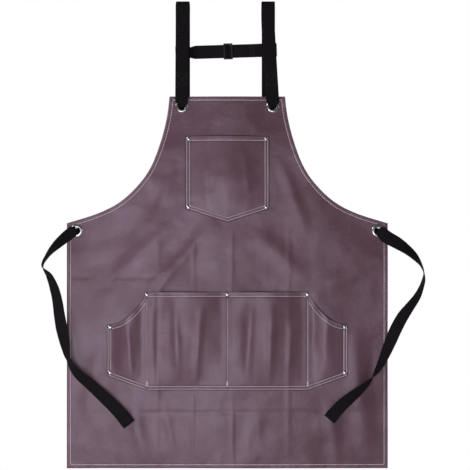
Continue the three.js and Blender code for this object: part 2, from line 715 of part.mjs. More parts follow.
// A box between two corners.
function block(low, high) {
  const size = high.map((value, i) => value - low[i]);
  const centre = high.map((value, i) => (value + low[i]) / 2);
  return new THREE.BoxGeometry(...size).translate(...centre);
}

// A three-bar slider: two bars in front of the webbing, one behind it.
function linkSlider() {
  const stack = LINK_LAYER_Y[2] - LINK_LAYER_Y[0] + LINK_THICKNESS + 2 * SEAM_GAP;
  const windowY = [FOLD_RADIUS - stack / 2, FOLD_RADIUS + stack / 2];
  const windowZ = WEBBING_WIDTH / 2 + SEAM_GAP;
  const halfWidth = SLIDER_WIDTH / 2;
  const front = windowY[0] - SLIDER_BAR_THICKNESS;
  const back = windowY[1] + SLIDER_BAR_THICKNESS;
  const reach = windowZ + SLIDER_BAR_ROOT;
  const rims = [-1, 1].map((end) => {
    const z = [end * windowZ, end * (windowZ + SLIDER_RIM)].sort((a, b) => a - b);
    return block([-halfWidth, front, z[0]], [halfWidth, back, z[1]]);
  });
  const frontBars = [-halfWidth, halfWidth - SLIDER_BAR_WIDTH].map((x) =>
    block([x, front, -reach], [x + SLIDER_BAR_WIDTH, windowY[0], reach]));
  const backBar = block([-SLIDER_BAR_WIDTH / 2, windowY[1], -reach], [SLIDER_BAR_WIDTH / 2, back, reach]);
  const bars = [rims[1], ...frontBars, backBar].map(solid);
  return geometryOf(bars.reduce((body, bar) => body.add(bar), solid(rims[0])));
}

// ---- Assembly --------------------------------------------------------------

const apron = new THREE.Group();
apron.name = 'welding_apron';

function addPiece(parent, name, geometry, material, x = 0, z = 0) {
  const mesh = new THREE.Mesh(geometry, material);
  mesh.name = name;
  mesh.position.set(x, 0, z);
  parent.add(mesh);
  return mesh;
}

addPiece(apron, 'apron_panel', apronPanel(), FINISH.leather());
addPiece(apron, 'chest_pocket', chestPocket(), FINISH.leather());
addPiece(apron, 'waist_pocket', waistPocket(), FINISH.leather());

for (const { name, x, z } of EYELETS) {
  addPiece(apron, `${name}_eyelet`, eyelet(), FINISH.nickel(), x, z);
  addPiece(apron, `${name}_eyelet_washer`, eyeletWasher(), FINISH.nickel(), x, z);
}

function addRivets(label, places) {
  places.forEach(({ x, z }, i) => {
    addPiece(apron, `${label}_rivet_${i + 1}`, rivetCap(), FINISH.nickel(), x, z);
    addPiece(apron, `${label}_rivet_${i + 1}_back`, rivetBack(), FINISH.nickel(), x, z);
  });
}

addRivets('chest', CHEST_RIVETS);
addRivets('waist', WAIST_RIVETS);

for (const name of Object.keys(SIDES)) {
  addPiece(apron, `${name}_shoulder_strap`, shoulderStrap(name), FINISH.webbing());
  addPiece(apron, `${name}_tie`, waistTie(name), FINISH.webbing());
}

const link = new THREE.Group();
link.position.set(0, 0, -LINK_DROP);
link.rotation.y = -THREE.MathUtils.degToRad(LINK_TILT_DEG);
apron.add(link);
addPiece(link, 'link_strap', linkStrap(), FINISH.webbing());
addPiece(link, 'link_slider', linkSlider(), FINISH.plastic(), SLIDER_X);

export default apron;
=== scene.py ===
import math

import bmesh
import bpy
import numpy as np
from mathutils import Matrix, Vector
from mathutils.kdtree import KDTree


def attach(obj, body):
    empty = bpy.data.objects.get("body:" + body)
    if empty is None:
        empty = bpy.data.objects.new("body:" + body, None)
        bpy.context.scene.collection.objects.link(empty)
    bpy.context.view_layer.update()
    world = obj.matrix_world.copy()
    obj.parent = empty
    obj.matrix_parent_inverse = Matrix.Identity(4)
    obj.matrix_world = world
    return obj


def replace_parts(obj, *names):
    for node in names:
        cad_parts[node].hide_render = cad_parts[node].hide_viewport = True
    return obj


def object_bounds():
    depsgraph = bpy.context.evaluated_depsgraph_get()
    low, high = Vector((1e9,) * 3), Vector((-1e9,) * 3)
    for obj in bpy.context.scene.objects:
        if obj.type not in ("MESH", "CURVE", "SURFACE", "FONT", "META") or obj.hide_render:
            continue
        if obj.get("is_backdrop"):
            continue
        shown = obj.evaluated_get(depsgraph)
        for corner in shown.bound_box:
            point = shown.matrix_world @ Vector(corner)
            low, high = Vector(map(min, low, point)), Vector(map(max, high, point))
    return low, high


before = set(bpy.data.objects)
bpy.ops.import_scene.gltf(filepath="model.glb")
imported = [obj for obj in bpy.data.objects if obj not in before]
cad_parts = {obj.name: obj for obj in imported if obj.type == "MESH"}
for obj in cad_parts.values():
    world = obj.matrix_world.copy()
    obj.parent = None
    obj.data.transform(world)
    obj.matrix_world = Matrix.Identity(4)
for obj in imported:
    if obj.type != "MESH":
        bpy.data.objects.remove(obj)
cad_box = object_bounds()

# Geometry is worked out in millimetres and scaled to metres when a mesh is made.
# X runs across the apron, -Y is the front, +Z is up; the origin is on the rail's axis.
MM = 0.001
SIDES = {"left": -1, "right": 1}

# ---- Sizes taken over from the CAD source, in mm ---------------------------

WEBBING_WIDTH = 25
WEBBING_THICKNESS = 1.8
FOLD_RADIUS = 7.4
PANEL_FRONT_Y = -5.5
PANEL_BACK_Y = -3.9
LEATHER = 1.6
HEM_THICKNESS = 3.2
BIB_TOP_Z = -170
BIB_HALF_WIDTH = 108
PANEL_HALF_WIDTH = 300
ARMHOLE_DEPTH = 237
HEM_Z = -865
BIB_EYELET_X = 85
BIB_EYELET_Z = -188.5
WAIST_EYELET_X = 282
WAIST_EYELET_Z = -421
EYELET_BORE_RADIUS = 6.25
EYELET_FRONT_Y = -7
EYELET_BACK_Y = -1.6
GATHERED = (10.6, 3)
POCKET_FRONT_Y = -7.2
POCKET_LEATHER = 1.4
SEAM_WIDTH = 9.9
CHEST_HALF_WIDTH = 78
CHEST_TOP_Z = -244
CHEST_SIDE_HEIGHT = 136
CHEST_POINT_DEPTH = 25
WAIST_TOP_Z = -535
WAIST_BOTTOM_Z = -719
CENTRE_POCKET_WIDTH = 150
SIDE_POCKET_WIDTH = 75
SIDE_MOUTH_DROP = 61
SIDE_MOUTH_CURVE = 2.2
SIDE_CORNER_RISE = 27
CHEST_RIVETS = [(-72.5, -249.5), (-72.5, -377.25), (72.5, -249.5), (72.5, -377.25)]
WAIST_RIVETS = [
    (-150, -540.5), (0, -540.5), (150, -540.5),
    (-219.5, -601.5), (-219.5, -686.5), (219.5, -601.5), (219.5, -686.5),
]
LINK_LAYER_Y = (6.3, 7.4, 8.5)
LINK_THICKNESS = 1.2
LINK_TILT = math.radians(1.8)
LINK_Z = -84.5

# ---- Camera ----------------------------------------------------------------

# Straight at the front, far enough back that the straps run parallel as in the photo
camera = bpy.data.objects.new("camera", bpy.data.cameras.new("camera"))
bpy.context.collection.objects.link(camera)
camera.data.lens = 135
camera.data.sensor_width = 36
camera.location = (0.0144, -3.3, -0.429)
camera.rotation_euler = (math.pi / 2, 0, 0)
bpy.context.scene.camera = camera


# ---- Materials -------------------------------------------------------------

def linear(red, green, blue):
    """An sRGB colour of 0 to 255 as the linear RGBA that a shader socket takes."""
    def channel(value):
        value /= 255
        return value / 12.92 if value <= 0.04045 else ((value + 0.055) / 1.055) ** 2.4
    return (channel(red), channel(green), channel(blue), 1)


class Graph:
    """Short ways to add nodes to one material."""

    def __init__(self, name):
        self.material = bpy.data.materials.new(name)
        self.material.use_nodes = True
        self.tree = self.material.node_tree
        self.shader = self.tree.nodes["Principled BSDF"]
        self.coords = self.tree.nodes.new("ShaderNodeTexCoord")

    def link(self, value, socket):
        if isinstance(value, bpy.types.NodeSocket):
            self.tree.links.new(value, socket)
        else:
            socket.default_value = value

    def node(self, kind, inputs, output, **settings):
        """A new node's output, once its settings and inputs are made."""
        node = self.tree.nodes.new("ShaderNode" + kind)
        for name, value in settings.items():
            setattr(node, name, value)
        for socket, value in inputs.items():
            self.link(value, node.inputs[socket])
        return node.outputs[output]

    def noise(self, scale, detail=3, roughness=0.5, at=None):
        return self.node("TexNoise", {"Vector": at or self.coords.outputs["Object"], "Scale": scale,
                                      "Detail": detail, "Roughness": roughness}, "Fac")

    def cells(self, scale):
        return self.node("TexVoronoi", {"Vector": self.coords.outputs["Object"], "Scale": scale}, "Distance")

    def math(self, operation, first, second=0.0):
        return self.node("Math", {0: first, 1: second}, 0, operation=operation)

    def spread(self, value, low, high, to_low=0.0, to_high=1.0):
        return self.node("MapRange", {"Value": value, "From Min": low, "From Max": high,
                                      "To Min": to_low, "To Max": to_high}, "Result")

    def mix(self, share, first, second, blend="MIX"):
        return self.node("Mix", {"Factor": share, "A": first, "B": second}, "Result",
                         data_type="RGBA", blend_type=blend)

    def attribute(self, name):
        return self.node("Attribute", {}, "Fac", attribute_name=name)

    def bump(self, height, distance, strength=1.0, under=None):
        inputs = {"Height": height, "Distance": distance, "Strength": strength}
        if under is not None:
            inputs["Normal"] = under
        return self.node("Bump", inputs, "Normal")

    def set(self, **values):
        for name, value in values.items():
            self.link(value, self.shader.inputs[name.replace("_", " ")])
        return self.material


# Leather: its grain in cells a metre, and how much paler a rubbed edge is, of 255
GRAIN_SCALE = 900
RUBBED_PALER = 14


def leather_material(name, dark, middle, light):
    """Smooth leather: cloudy colour, fine pebbled grain and soft bumps.

    Its point attribute rubs an edge paler above 0, as real rubbing, and darkens it below 0: painted shade in
    stitching grooves, and at a pocket's cut edge a dyed edge together with a painted shadow.
    """
    g = Graph(name)
    clouds = g.spread(g.noise(4.2, 2, 0.5), 0.34, 0.66)
    patches = g.spread(g.noise(34, 4, 0.6), 0.34, 0.66)
    fine = g.spread(g.noise(210, 3, 0.6), 0.3, 0.7)
    pebbles = g.cells(GRAIN_SCALE)
    colour = g.mix(clouds, linear(*dark), linear(*middle))
    colour = g.mix(g.math("MULTIPLY", patches, 0.22), colour, linear(*light))
    shade = g.spread(fine, 0, 1, 0.90, 1.07)
    colour = g.mix(1.0, colour, shade, "MULTIPLY")
    pits = g.spread(pebbles, 0.35, 0.75, 1.0, 0.84)
    colour = g.mix(1.0, colour, pits, "MULTIPLY")
    wear_and_shade = g.attribute("wear_and_shade")
    # Painted shade: below 0 the attribute darkens the colour, down to 0.18 of it, in grooves and at a
    # pocket's cut edge
    colour = g.mix(1.0, colour, g.spread(wear_and_shade, -1, 0, 0.18, 1.0), "MULTIPLY")
    rubbed = g.math("MULTIPLY", g.math("MAXIMUM", wear_and_shade, 0.0), g.spread(patches, 0, 1, 0.3, 0.8))
    colour = g.mix(rubbed, colour, linear(*[c + RUBBED_PALER for c in light]))
    normal = g.bump(g.noise(10, 2, 0.45), 0.009, 0.5)
    normal = g.bump(g.noise(105, 3, 0.5), 0.0005, 0.5, normal)
    normal = g.bump(g.math("SUBTRACT", 0.5, pebbles), 0.00022, 0.5, normal)
    normal = g.bump(g.noise(2600, 2), 0.00006, 0.4, normal)
    polish = g.math("ADD", g.math("MULTIPLY", clouds, 0.6), g.math("MULTIPLY", patches, 0.4))
    roughness = g.spread(polish, 0, 1, 0.4, 0.31)
    return g.set(Base_Color=colour, Roughness=roughness, Normal=normal,
                 Specular_IOR_Level=0.6, Specular_Tint=(0.91, 0.78, 1.0, 1))


def webbing_material(name, dark, light, rib=0.0016, pick=0.0021):
    """Woven tape: ribs along its length, crossed by picks that step from rib to rib."""
    g = Graph(name)
    split = g.tree.nodes.new("ShaderNodeSeparateXYZ")
    g.link(g.coords.outputs["UV"], split.inputs[0])
    across, along = split.outputs[0], split.outputs[1]
    ribs = g.math("SINE", g.math("MULTIPLY", across, 2 * math.pi / rib))
    step = g.math("FLOOR", g.math("DIVIDE", across, rib / 2))
    turned = g.math("ADD", g.math("MULTIPLY", along, 2 * math.pi / pick),
                    g.math("MULTIPLY", step, math.pi / 2))
    picks = g.math("SINE", turned)
    weave = g.math("ADD", g.math("MULTIPLY", ribs, 0.55), g.math("MULTIPLY", picks, 0.45))
    fuzz = g.noise(2400, 2)
    worn = g.spread(g.noise(45, 4, 0.6), 0.35, 0.7)
    height = g.math("ADD", weave, g.math("MULTIPLY", fuzz, 0.6))
    tone = g.math("ADD", g.spread(weave, -1, 1, 0.0, 0.65), g.math("MULTIPLY", worn, 0.35))
    colour = g.mix(tone, linear(*dark), linear(*light))
    normal = g.bump(height, 0.00028, 0.8)
    roughness = g.spread(worn, 0, 1, 0.72, 0.86)
    return g.set(Base_Color=colour, Roughness=roughness, Normal=normal,
                 Specular_IOR_Level=0.12)


def thread_material(name, dark, light):
    g = Graph(name)
    twist = g.noise(3000, 2)
    dirt = g.spread(g.noise(70, 3), 0.35, 0.65)
    colour = g.mix(g.math("MULTIPLY", g.math("ADD", twist, dirt), 0.5), linear(*dark), linear(*light))
    return g.set(Base_Color=colour, Roughness=0.6, Normal=g.bump(twist, 0.0001, 0.6))


def metal_material(name, dark, light, roughness):
    """Plated metal with fine scratches and a few duller patches."""
    g = Graph(name)
    stretched = g.tree.nodes.new("ShaderNodeMapping")
    g.link(g.coords.outputs["Object"], stretched.inputs["Vector"])
    stretched.inputs["Scale"].default_value = (1, 1, 0.12)
    scratches = g.noise(4200, 2, at=stretched.outputs[0])
    tarnish = g.spread(g.noise(260, 4, 0.6), 0.35, 0.7)
    colour = g.mix(tarnish, linear(*light), linear(*dark))
    rough = g.spread(g.math("ADD", scratches, tarnish), 0.2, 1.7, roughness * 0.7, roughness * 1.5)
    return g.set(Base_Color=colour, Metallic=1.0, Roughness=rough, Normal=g.bump(scratches, 0.00004, 0.4))


def plastic_material(name, dark, light):
    g = Graph(name)
    texture = g.noise(1800, 3)
    scuffs = g.spread(g.noise(320, 4, 0.65), 0.5, 0.72)
    colour = g.mix(scuffs, linear(*dark), linear(*light))
    return g.set(Base_Color=colour, Roughness=g.spread(scuffs, 0, 1, 0.5, 0.7),
                 Normal=g.bump(texture, 0.00005, 0.5), Specular_IOR_Level=0.3)


PANEL_LEATHER = leather_material("panel_leather", (72, 42, 46), (85, 56, 67), (97, 76, 90))
POCKET_LEATHER_LOOK = leather_material("pocket_leather", (76, 47, 52), (89, 61, 72), (104, 85, 99))
STRAP_WEBBING = webbing_material("strap_webbing", (7, 5, 7), (18, 14, 18))
# Painted highlight: the ties' webbing is a paler copy of the strap webbing
TIE_WEBBING_PAINTED_PALER = webbing_material("tie_webbing", (8, 6, 9), (24, 19, 25))
LINK_WEBBING = webbing_material("link_webbing", (9, 7, 10), (25, 20, 26), 0.0013, 0.0017)
PALE_THREAD = thread_material("pale_thread", (190, 170, 181), (230, 216, 224))
BLACK_THREAD = thread_material("black_thread", (12, 11, 13), (34, 32, 36))
NICKEL = metal_material("eyelet_nickel", (96, 93, 92), (172, 170, 171), 0.18)
RIVET_NICKEL = metal_material("rivet_nickel", (118, 114, 112), (190, 188, 189), 0.16)
SLIDER_PLASTIC = plastic_material("slider_plastic", (9, 9, 10), (22, 21, 23))


# ---- Mesh helpers ----------------------------------------------------------

def closed_mesh(name, points, faces):
    """A mesh from points in mm, its faces turned so that their normals point out of the body."""
    mesh = bpy.data.meshes.new(name)
    mesh.from_pydata((np.asarray(points, float) * MM).tolist(), [], faces)
    facing = bmesh.new()
    facing.from_mesh(mesh)
    bmesh.ops.recalc_face_normals(facing, faces=facing.faces)
    facing.to_mesh(mesh)
    facing.free()
    return mesh


def add_object(name, mesh):
    made = bpy.data.objects.new(name, mesh)
    bpy.context.collection.objects.link(made)
    return made


def make_piece(name, points, faces, material, body="apron", uvs=None, smooth=True, wear_and_shade=None):
    """A mesh object from points in mm, riding on a CAD body."""
    mesh = closed_mesh(name, points, faces)
    mesh.polygons.foreach_set("use_smooth", [smooth] * len(mesh.polygons))
    if uvs is not None:
        layer = mesh.uv_layers.new(name="weave")
        order = np.empty(len(mesh.loops), int)
        mesh.loops.foreach_get("vertex_index", order)
        layer.data.foreach_set("uv", (np.asarray(uvs, float) * MM)[order].ravel())
    if wear_and_shade is not None:
        mesh.attributes.new("wear_and_shade", "FLOAT", "POINT").data.foreach_set("value", np.asarray(wear_and_shade, float))
    mesh.materials.append(material)
    mesh.validate()
    piece = add_object(name, mesh)
    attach(piece, body)
    return piece


def join_parts(parts):
    """Several (points, faces) lists as one."""
    points, faces, shift = [], [], 0
    for some_points, some_faces in parts:
        points.extend(some_points)
        faces.extend([[i + shift for i in face] for face in some_faces])
        shift += len(some_points)
    return points, faces


def lathe(profile, segments, x, y_shift, z):
    """A closed round body about an axis along Y, from (radius, y) pairs."""
    points, faces, rings = [], [], []
    for radius, y in profile:
        if radius < 1e-6:
            rings.append([len(points)])
            points.append((x, y + y_shift, z))
            continue
        rings.append(list(range(len(points), len(points) + segments)))
        for i in range(segments):
            turn = 2 * math.pi * i / segments
            points.append((x + radius * math.cos(turn), y + y_shift, z + radius * math.sin(turn)))
    for here, there in zip(rings, rings[1:]):
        for i in range(segments):
            j = (i + 1) % segments
            if len(here) == 1:
                faces.append([here[0], there[j], there[i]])
            elif len(there) == 1:
                faces.append([here[i], here[j], there[0]])
            else:
                faces.append([here[i], here[j], there[j], there[i]])
    return points, faces


# ---- Soft relief of the leather --------------------------------------------

# Random numbers along each side of the noise, which then repeats
LATTICE = 64


def soft_noise(x, z, cell, seed):
    """Smooth random hills between -1 and 1, about `cell` mm across."""
    lattice = np.random.RandomState(seed).uniform(-1, 1, (LATTICE, LATTICE))
    gx, gz = np.asarray(x) / cell, np.asarray(z) / cell
    ix, iz = np.floor(gx).astype(int), np.floor(gz).astype(int)
    fx, fz = gx - ix, gz - iz
    fx, fz = (f ** 3 * (f * (f * 6 - 15) + 10) for f in (fx, fz))
    corner = lambda dx, dz: lattice[(ix + dx) % LATTICE, (iz + dz) % LATTICE]
    low = corner(0, 0) * (1 - fx) + corner(1, 0) * fx
    high = corner(0, 1) * (1 - fx) + corner(1, 1) * fx
    return low * (1 - fz) + high * fz


def smooth_step(value, low, high):
    t = np.clip((np.asarray(value, float) - low) / (high - low), 0, 1)
    return t * t * (3 - 2 * t)


def fold_line(x, z, start, end, width):
    """1 along a segment, falling away to 0 at both ends and to the sides."""
    (x0, z0), (x1, z1) = start, end
    run_x, run_z = x1 - x0, z1 - z0
    length = math.hypot(run_x, run_z)
    share = ((x - x0) * run_x + (z - z0) * run_z) / length ** 2
    side = ((x - x0) * run_z - (z - z0) * run_x) / length
    inside = np.sin(math.pi * np.clip(share, 0, 1)) ** 0.7
    return inside * np.exp(-(side / width) ** 2)


# Packing creases and soft folds: start, end, half width and rise, in mm
PANEL_FOLDS = [
    ((-129, -420), (-131, -860), 5, 0.7), ((-64, -415), (-62, -540), 4, 0.5),
    ((-64, -720), (-66, -862), 4, 0.6), ((9, -415), (8, -545), 4, 0.6),
    ((9, -715), (10, -862), 4, 0.6), ((115, -400), (113, -862), 5, 0.7),
    ((-298, -507), (-120, -509), 5, -0.6), ((-298, -762), (298, -760), 5, -0.6),
    ((-20, -400), (-180, -580), 13, 2.2), ((-60, -375), (-225, -520), 17, 2.0),
    ((40, -410), (150, -520), 16, 1.8), ((-95, -290), (-140, -420), 11, 1.5),
    ((95, -280), (150, -430), 12, 1.6), ((-230, -620), (-285, -850), 16, 2.0),
    ((235, -600), (262, -850), 17, 2.4), ((-180, -730), (-150, -862), 13, 1.8),
    ((60, -735), (40, -864), 14, 2.0), ((190, -735), (205, -864), 12, 1.8),
    ((-120, -735), (-95, -864), 9, 1.2), ((120, -560), (290, -470), 16, 1.4),
]
POCKET_FOLDS = [
    ((-98, -545), (-92, -705), 8, 2.2), ((-48, -560), (-60, -712), 7, 1.8),
    ((-135, -560), (-132, -715), 5, 1.8),
    ((44, -545), (34, -715), 10, 3.0), ((84, -550), (78, -712), 8, 2.2),
    ((122, -555), (118, -705), 6, 1.4),
    ((-186, -590), (-178, -700), 6, 1.3), ((186, -585), (178, -700), 7, 0.6),
    ((-46, -262), (-38, -376), 8, 1.0), ((30, -258), (44, -372), 8, 1.0),
]
EYELET_PLACES = [(side * x, z) for x, z in ((BIB_EYELET_X, BIB_EYELET_Z), (WAIST_EYELET_X, WAIST_EYELET_Z))
                 for side in (-1, 1)]
# The relief stands this far forward at most, and dies out between these distances from an eyelet
RELIEF_MOST = 5
RELIEF_FADE = (13, 55)


def relief(x, z):
    """How far the panel stands in front of its flat place, in mm; nothing at the eyelets."""
    x, z = np.asarray(x, float), np.asarray(z, float)
    lower = smooth_step(-z, 380, 640)
    height = 1.5 * soft_noise(x, z, 120, 3) + (0.8 + 1.2 * lower) * soft_noise(x, z * 0.45, 75, 5)
    height += 0.8 * soft_noise(x, z, 46, 7) + 0.16 * soft_noise(x, z, 19, 11)
    height += 2.0
    for start, end, width, rise in PANEL_FOLDS:
        height = height + rise * fold_line(x, z, start, end, width)
    near = np.ones_like(height)
    for eyelet_x, eyelet_z in EYELET_PLACES:
        near = near * smooth_step(np.hypot(x - eyelet_x, z - eyelet_z), *RELIEF_FADE)
    return np.clip(height, 0, RELIEF_MOST) * near


# ---- Panel -----------------------------------------------------------------

ARMHOLE_POINTS = 240


def armhole_points():
    """The panel's right edge from the bib's top corner to the waist corner."""
    rise = PANEL_HALF_WIDTH - BIB_HALF_WIDTH
    knots = np.array([
        (BIB_HALF_WIDTH, 0), (BIB_HALF_WIDTH + 5, 0.165), (BIB_HALF_WIDTH + 16, 0.35),
        (BIB_HALF_WIDTH + 33, 0.54), (BIB_HALF_WIDTH + 0.29 * rise, 0.685),
        (BIB_HALF_WIDTH + 0.47 * rise, 0.825), (BIB_HALF_WIDTH + 0.69 * rise, 0.92),
        (PANEL_HALF_WIDTH, 1),
    ])
    knots[:, 1] = BIB_TOP_Z - ARMHOLE_DEPTH * knots[:, 1]
    last = len(knots) - 1
    out = []
    for place in np.linspace(0, last, ARMHOLE_POINTS):
        i = min(int(place), last - 1)
        t = place - i
        p0, p1, p2, p3 = (knots[min(max(k, 0), last)] for k in (i - 1, i, i + 1, i + 2))
        v0, v1 = (p2 - p0) / 2, (p3 - p1) / 2
        cubic, square = 2 * p1 - 2 * p2 + v0 + v1, 3 * p2 - 3 * p1 - 2 * v0 - v1
        out.append(cubic * t ** 3 + square * t ** 2 + v0 * t + p1)
    return np.array(out)


ARMHOLE = armhole_points()


def resample(points, count):
    """The same line with `count` points at even distances."""
    points = np.asarray(points, float)
    lengths = np.concatenate([[0], np.cumsum(np.linalg.norm(np.diff(points, axis=0), axis=1))])
    places = np.linspace(0, lengths[-1], count)
    return np.stack([np.interp(places, lengths, points[:, k]) for k in range(points.shape[1])], 1)


def offset_line(points, distance):
    """A line in the XZ plane moved to its right-hand side, seen along its run."""
    points = np.asarray(points, float)
    run = np.gradient(points, axis=0)
    run /= np.linalg.norm(run, axis=1)[:, None]
    return points + distance * np.stack([run[:, 1], -run[:, 0]], 1)


# Points along each part of the panel's mesh
PANEL_COLUMNS = 250
ARMHOLE_ROWS = 130
SKIRT_ROWS = 190


def panel_side(inset):
    """The panel's right edge moved inwards, as points from the bib's top to the hem."""
    line = offset_line(ARMHOLE, inset)
    start = line[0] + (line[0] - line[1]) * 4
    end = line[-1] + (line[-1] - line[-2]) * 12
    line = np.vstack([start, line, end])
    top, side = BIB_TOP_Z - inset, PANEL_HALF_WIDTH - inset
    order = np.argsort(-line[:, 1])
    first = (np.interp(-top, -line[order, 1], line[order, 0]), top)
    corner = (side, np.interp(side, line[:, 0], line[:, 1]))
    kept = line[(line[:, 1] < top - 1e-6) & (line[:, 0] < side - 1e-6)]
    curve = resample(np.vstack([first, kept, corner]), ARMHOLE_ROWS)
    skirt_z = np.linspace(corner[1], HEM_Z + inset, SKIRT_ROWS + 1)[1:]
    return np.vstack([curve, np.stack([np.full(SKIRT_ROWS, side), skirt_z], 1)])


def panel_outline(inset):
    """The panel's whole edge moved inwards, closed."""
    side = panel_side(inset)
    return np.vstack([side, side[::-1] * (-1, 1), side[:1]])


def panel_grid(inset):
    """X and Z of every row and column of the panel's surface, moved inwards."""
    side = panel_side(inset)
    share = np.linspace(-1, 1, PANEL_COLUMNS + 1)
    return side[:, :1] * share[None, :], np.repeat(side[:, 1:], PANEL_COLUMNS + 1, 1)


def grid_loop(rows, columns):
    """Indices round the edge of a rows-by-columns grid, in order."""
    at = lambda i, j: i * columns + j
    return ([at(0, j) for j in range(columns)] + [at(i, columns - 1) for i in range(1, rows)]
            + [at(rows - 1, j) for j in range(columns - 2, -1, -1)]
            + [at(i, 0) for i in range(rows - 2, 0, -1)])


def grid_faces(rows, columns, shift=0, flip=False):
    i, j = np.meshgrid(np.arange(rows - 1), np.arange(columns - 1), indexing="ij")
    a = (i * columns + j).ravel() + shift
    quads = np.stack([a, a + 1, a + columns + 1, a + columns], 1)
    return (quads[:, ::-1] if flip else quads).tolist()


def loop_faces(loops):
    """Faces between each loop of point indices and the next."""
    faces = []
    for first, second in zip(loops, loops[1:]):
        pairs = [(int(a), int(b)) for a, b in zip(first, second)]
        faces += [[a, b, d, c] for (a, b), (c, d) in zip(pairs, pairs[1:] + pairs[:1])]
    return faces


def distance_to(points):
    """A function that gives the distance in mm of each (x, z) from the nearest point."""
    tree = KDTree(len(points))
    for i, (x, z) in enumerate(points):
        tree.insert((x, 0, z), i)
    tree.balance()

    def distance(x, z):
        flat = [tree.find((a, 0, b))[2] for a, b in zip(np.ravel(x), np.ravel(z))]
        return np.array(flat).reshape(np.shape(x))
    return distance


OUTLINE_POINTS = 1600
edge_distance = distance_to(resample(panel_outline(0), OUTLINE_POINTS))

# The turned edge: inset and depth behind the front face, from the front round to the raw edge
HEM_STITCH_INSET = 7.2
HEM_PROFILE = [
    (10.2, 0.0), (9.0, 0.0), (8.0, 0.08), (7.2, 0.2), (6.4, 0.08), (5.2, -0.12), (3.8, -0.16), (2.4, -0.04),
    (1.1, 0.14), (0.45, 0.5), (0.08, 1.1), (0.0, 1.7),
    (0.12, 2.3), (0.5, 2.85), (1.2, 3.15), (2.2, 3.2), (7.7, 3.2), (8.0, 3.0), (8.05, 1.75), (8.2, 1.6),
]


def pucker(x, z, distance):
    """The small ripples that the hem's stitches pull into the leather's edge."""
    wave = np.sin(x * 2 * math.pi / 13 + 0.8 * np.sin(z / 17)) * np.sin(z * 2 * math.pi / 14.5 + 0.5)
    along = soft_noise(x, z, 9, 23)
    return (0.10 * wave + 0.22 * along) * np.exp(-((distance - 4) / 5.5) ** 2)


def front_of_panel(x, z):
    """Y of the panel's front face at (x, z)."""
    return PANEL_FRONT_Y - relief(x, z)


# The leather's hole is this much larger than the eyelet's bore, in radius, to clear its barrel
HOLE_ROOM = 0.85


def build_panel():
    rows, columns = ARMHOLE_ROWS + SKIRT_ROWS, PANEL_COLUMNS + 1
    loop = np.array(grid_loop(rows, columns))
    points, loops, wear_and_shade = [], [], []

    def add(x, z, depth, keep=None):
        x, z = np.ravel(x), np.ravel(z)
        if keep is not None:
            x, z = x[keep], z[keep]
        distance = edge_distance(x, z)
        y = front_of_panel(x, z) - pucker(x, z, distance) + depth
        shift = sum(len(p) for p in points)
        points.append(np.stack([x, y, z], 1))
        wear_and_shade.append(np.exp(-(distance / 2.2) ** 2) * 0.8 + 0.28 * (distance < 8.3))
        return shift

    front_inset, back_inset = HEM_PROFILE[0][0], HEM_PROFILE[-1][0]
    start = add(*panel_grid(front_inset), 0)
    faces = grid_faces(rows, columns, start, flip=True)
    loops.append(loop + start)
    for inset, depth in HEM_PROFILE[1:-1]:
        ring = add(*panel_grid(inset), depth, loop)
        loops.append(np.arange(len(loop)) + ring)
    back = add(*panel_grid(back_inset), LEATHER)
    faces += grid_faces(rows, columns, back)
    loops.append(loop + back)
    faces += loop_faces(loops)
    panel = make_piece("apron_panel_leather", np.vstack(points), faces, PANEL_LEATHER,
                       wear_and_shade=np.concatenate(wear_and_shade))
    bore = EYELET_BORE_RADIUS + HOLE_ROOM
    cut_holes(panel, [(x, z, bore) for x, z in EYELET_PLACES])
    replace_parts(panel, "apron_panel")
    return panel


def cut_holes(piece, holes):
    """Real round holes through a leather piece, cut with a boolean that is applied."""
    front, back, segments = -15, 8, 40
    parts = [lathe([(0, front), (radius, front), (radius, back), (0, back)], segments, x, 0, z)
             for x, z, radius in holes]
    mesh = closed_mesh("cutter", *join_parts(parts))
    cutter = add_object("cutter", mesh)
    modifier = piece.modifiers.new("holes", "BOOLEAN")
    modifier.operation = "DIFFERENCE"
    modifier.solver = "EXACT"
    modifier.object = cutter
    made = bpy.data.meshes.new_from_object(piece.evaluated_get(bpy.context.evaluated_depsgraph_get()))
    piece.modifiers.clear()
    piece.data = made
    bpy.data.objects.remove(cutter)
    bpy.data.meshes.remove(mesh)


# ---- Pockets ---------------------------------------------------------------

# Distances of the seams from a pocket's edges, and how far its mouth gapes at most
INNER_SEAM = 7.6
OUTER_SEAM = 2.4
MOUTH_SEAM = 8.5
CENTRE_GAPE = 10
SIDE_GAPE = 7


def slack(from_seam, width, depth_share, most):
    """How far a pocket stands off the panel: nothing at its seams, most at its mouth's middle."""
    free = np.clip((from_seam - SEAM_WIDTH) / (width - 2 * SEAM_WIDTH), 0, 1)
    return most * np.sin(math.pi * free) ** 1.3 * (1 - np.clip(depth_share, 0, 1) ** 3)


def chest_bottom(x):
    return CHEST_TOP_Z - CHEST_SIDE_HEIGHT - CHEST_POINT_DEPTH * (1 - np.abs(x) / CHEST_HALF_WIDTH)


def chest_stand(x, z):
    depth = (CHEST_TOP_Z - z) / (CHEST_TOP_Z - chest_bottom(x))
    return slack(x + CHEST_HALF_WIDTH, 2 * CHEST_HALF_WIDTH, depth, SIDE_GAPE)


def side_share(x):
    """0 over the centre pockets, rising to 1 at the strip's outer edges."""
    return np.clip((np.abs(x) - CENTRE_POCKET_WIDTH) / SIDE_POCKET_WIDTH, 0, 1)


def waist_mouth(x):
    return WAIST_TOP_Z - SIDE_MOUTH_DROP * (1 - (1 - side_share(x)) ** SIDE_MOUTH_CURVE)


def waist_bottom(x):
    return WAIST_BOTTOM_Z + SIDE_CORNER_RISE * side_share(x)


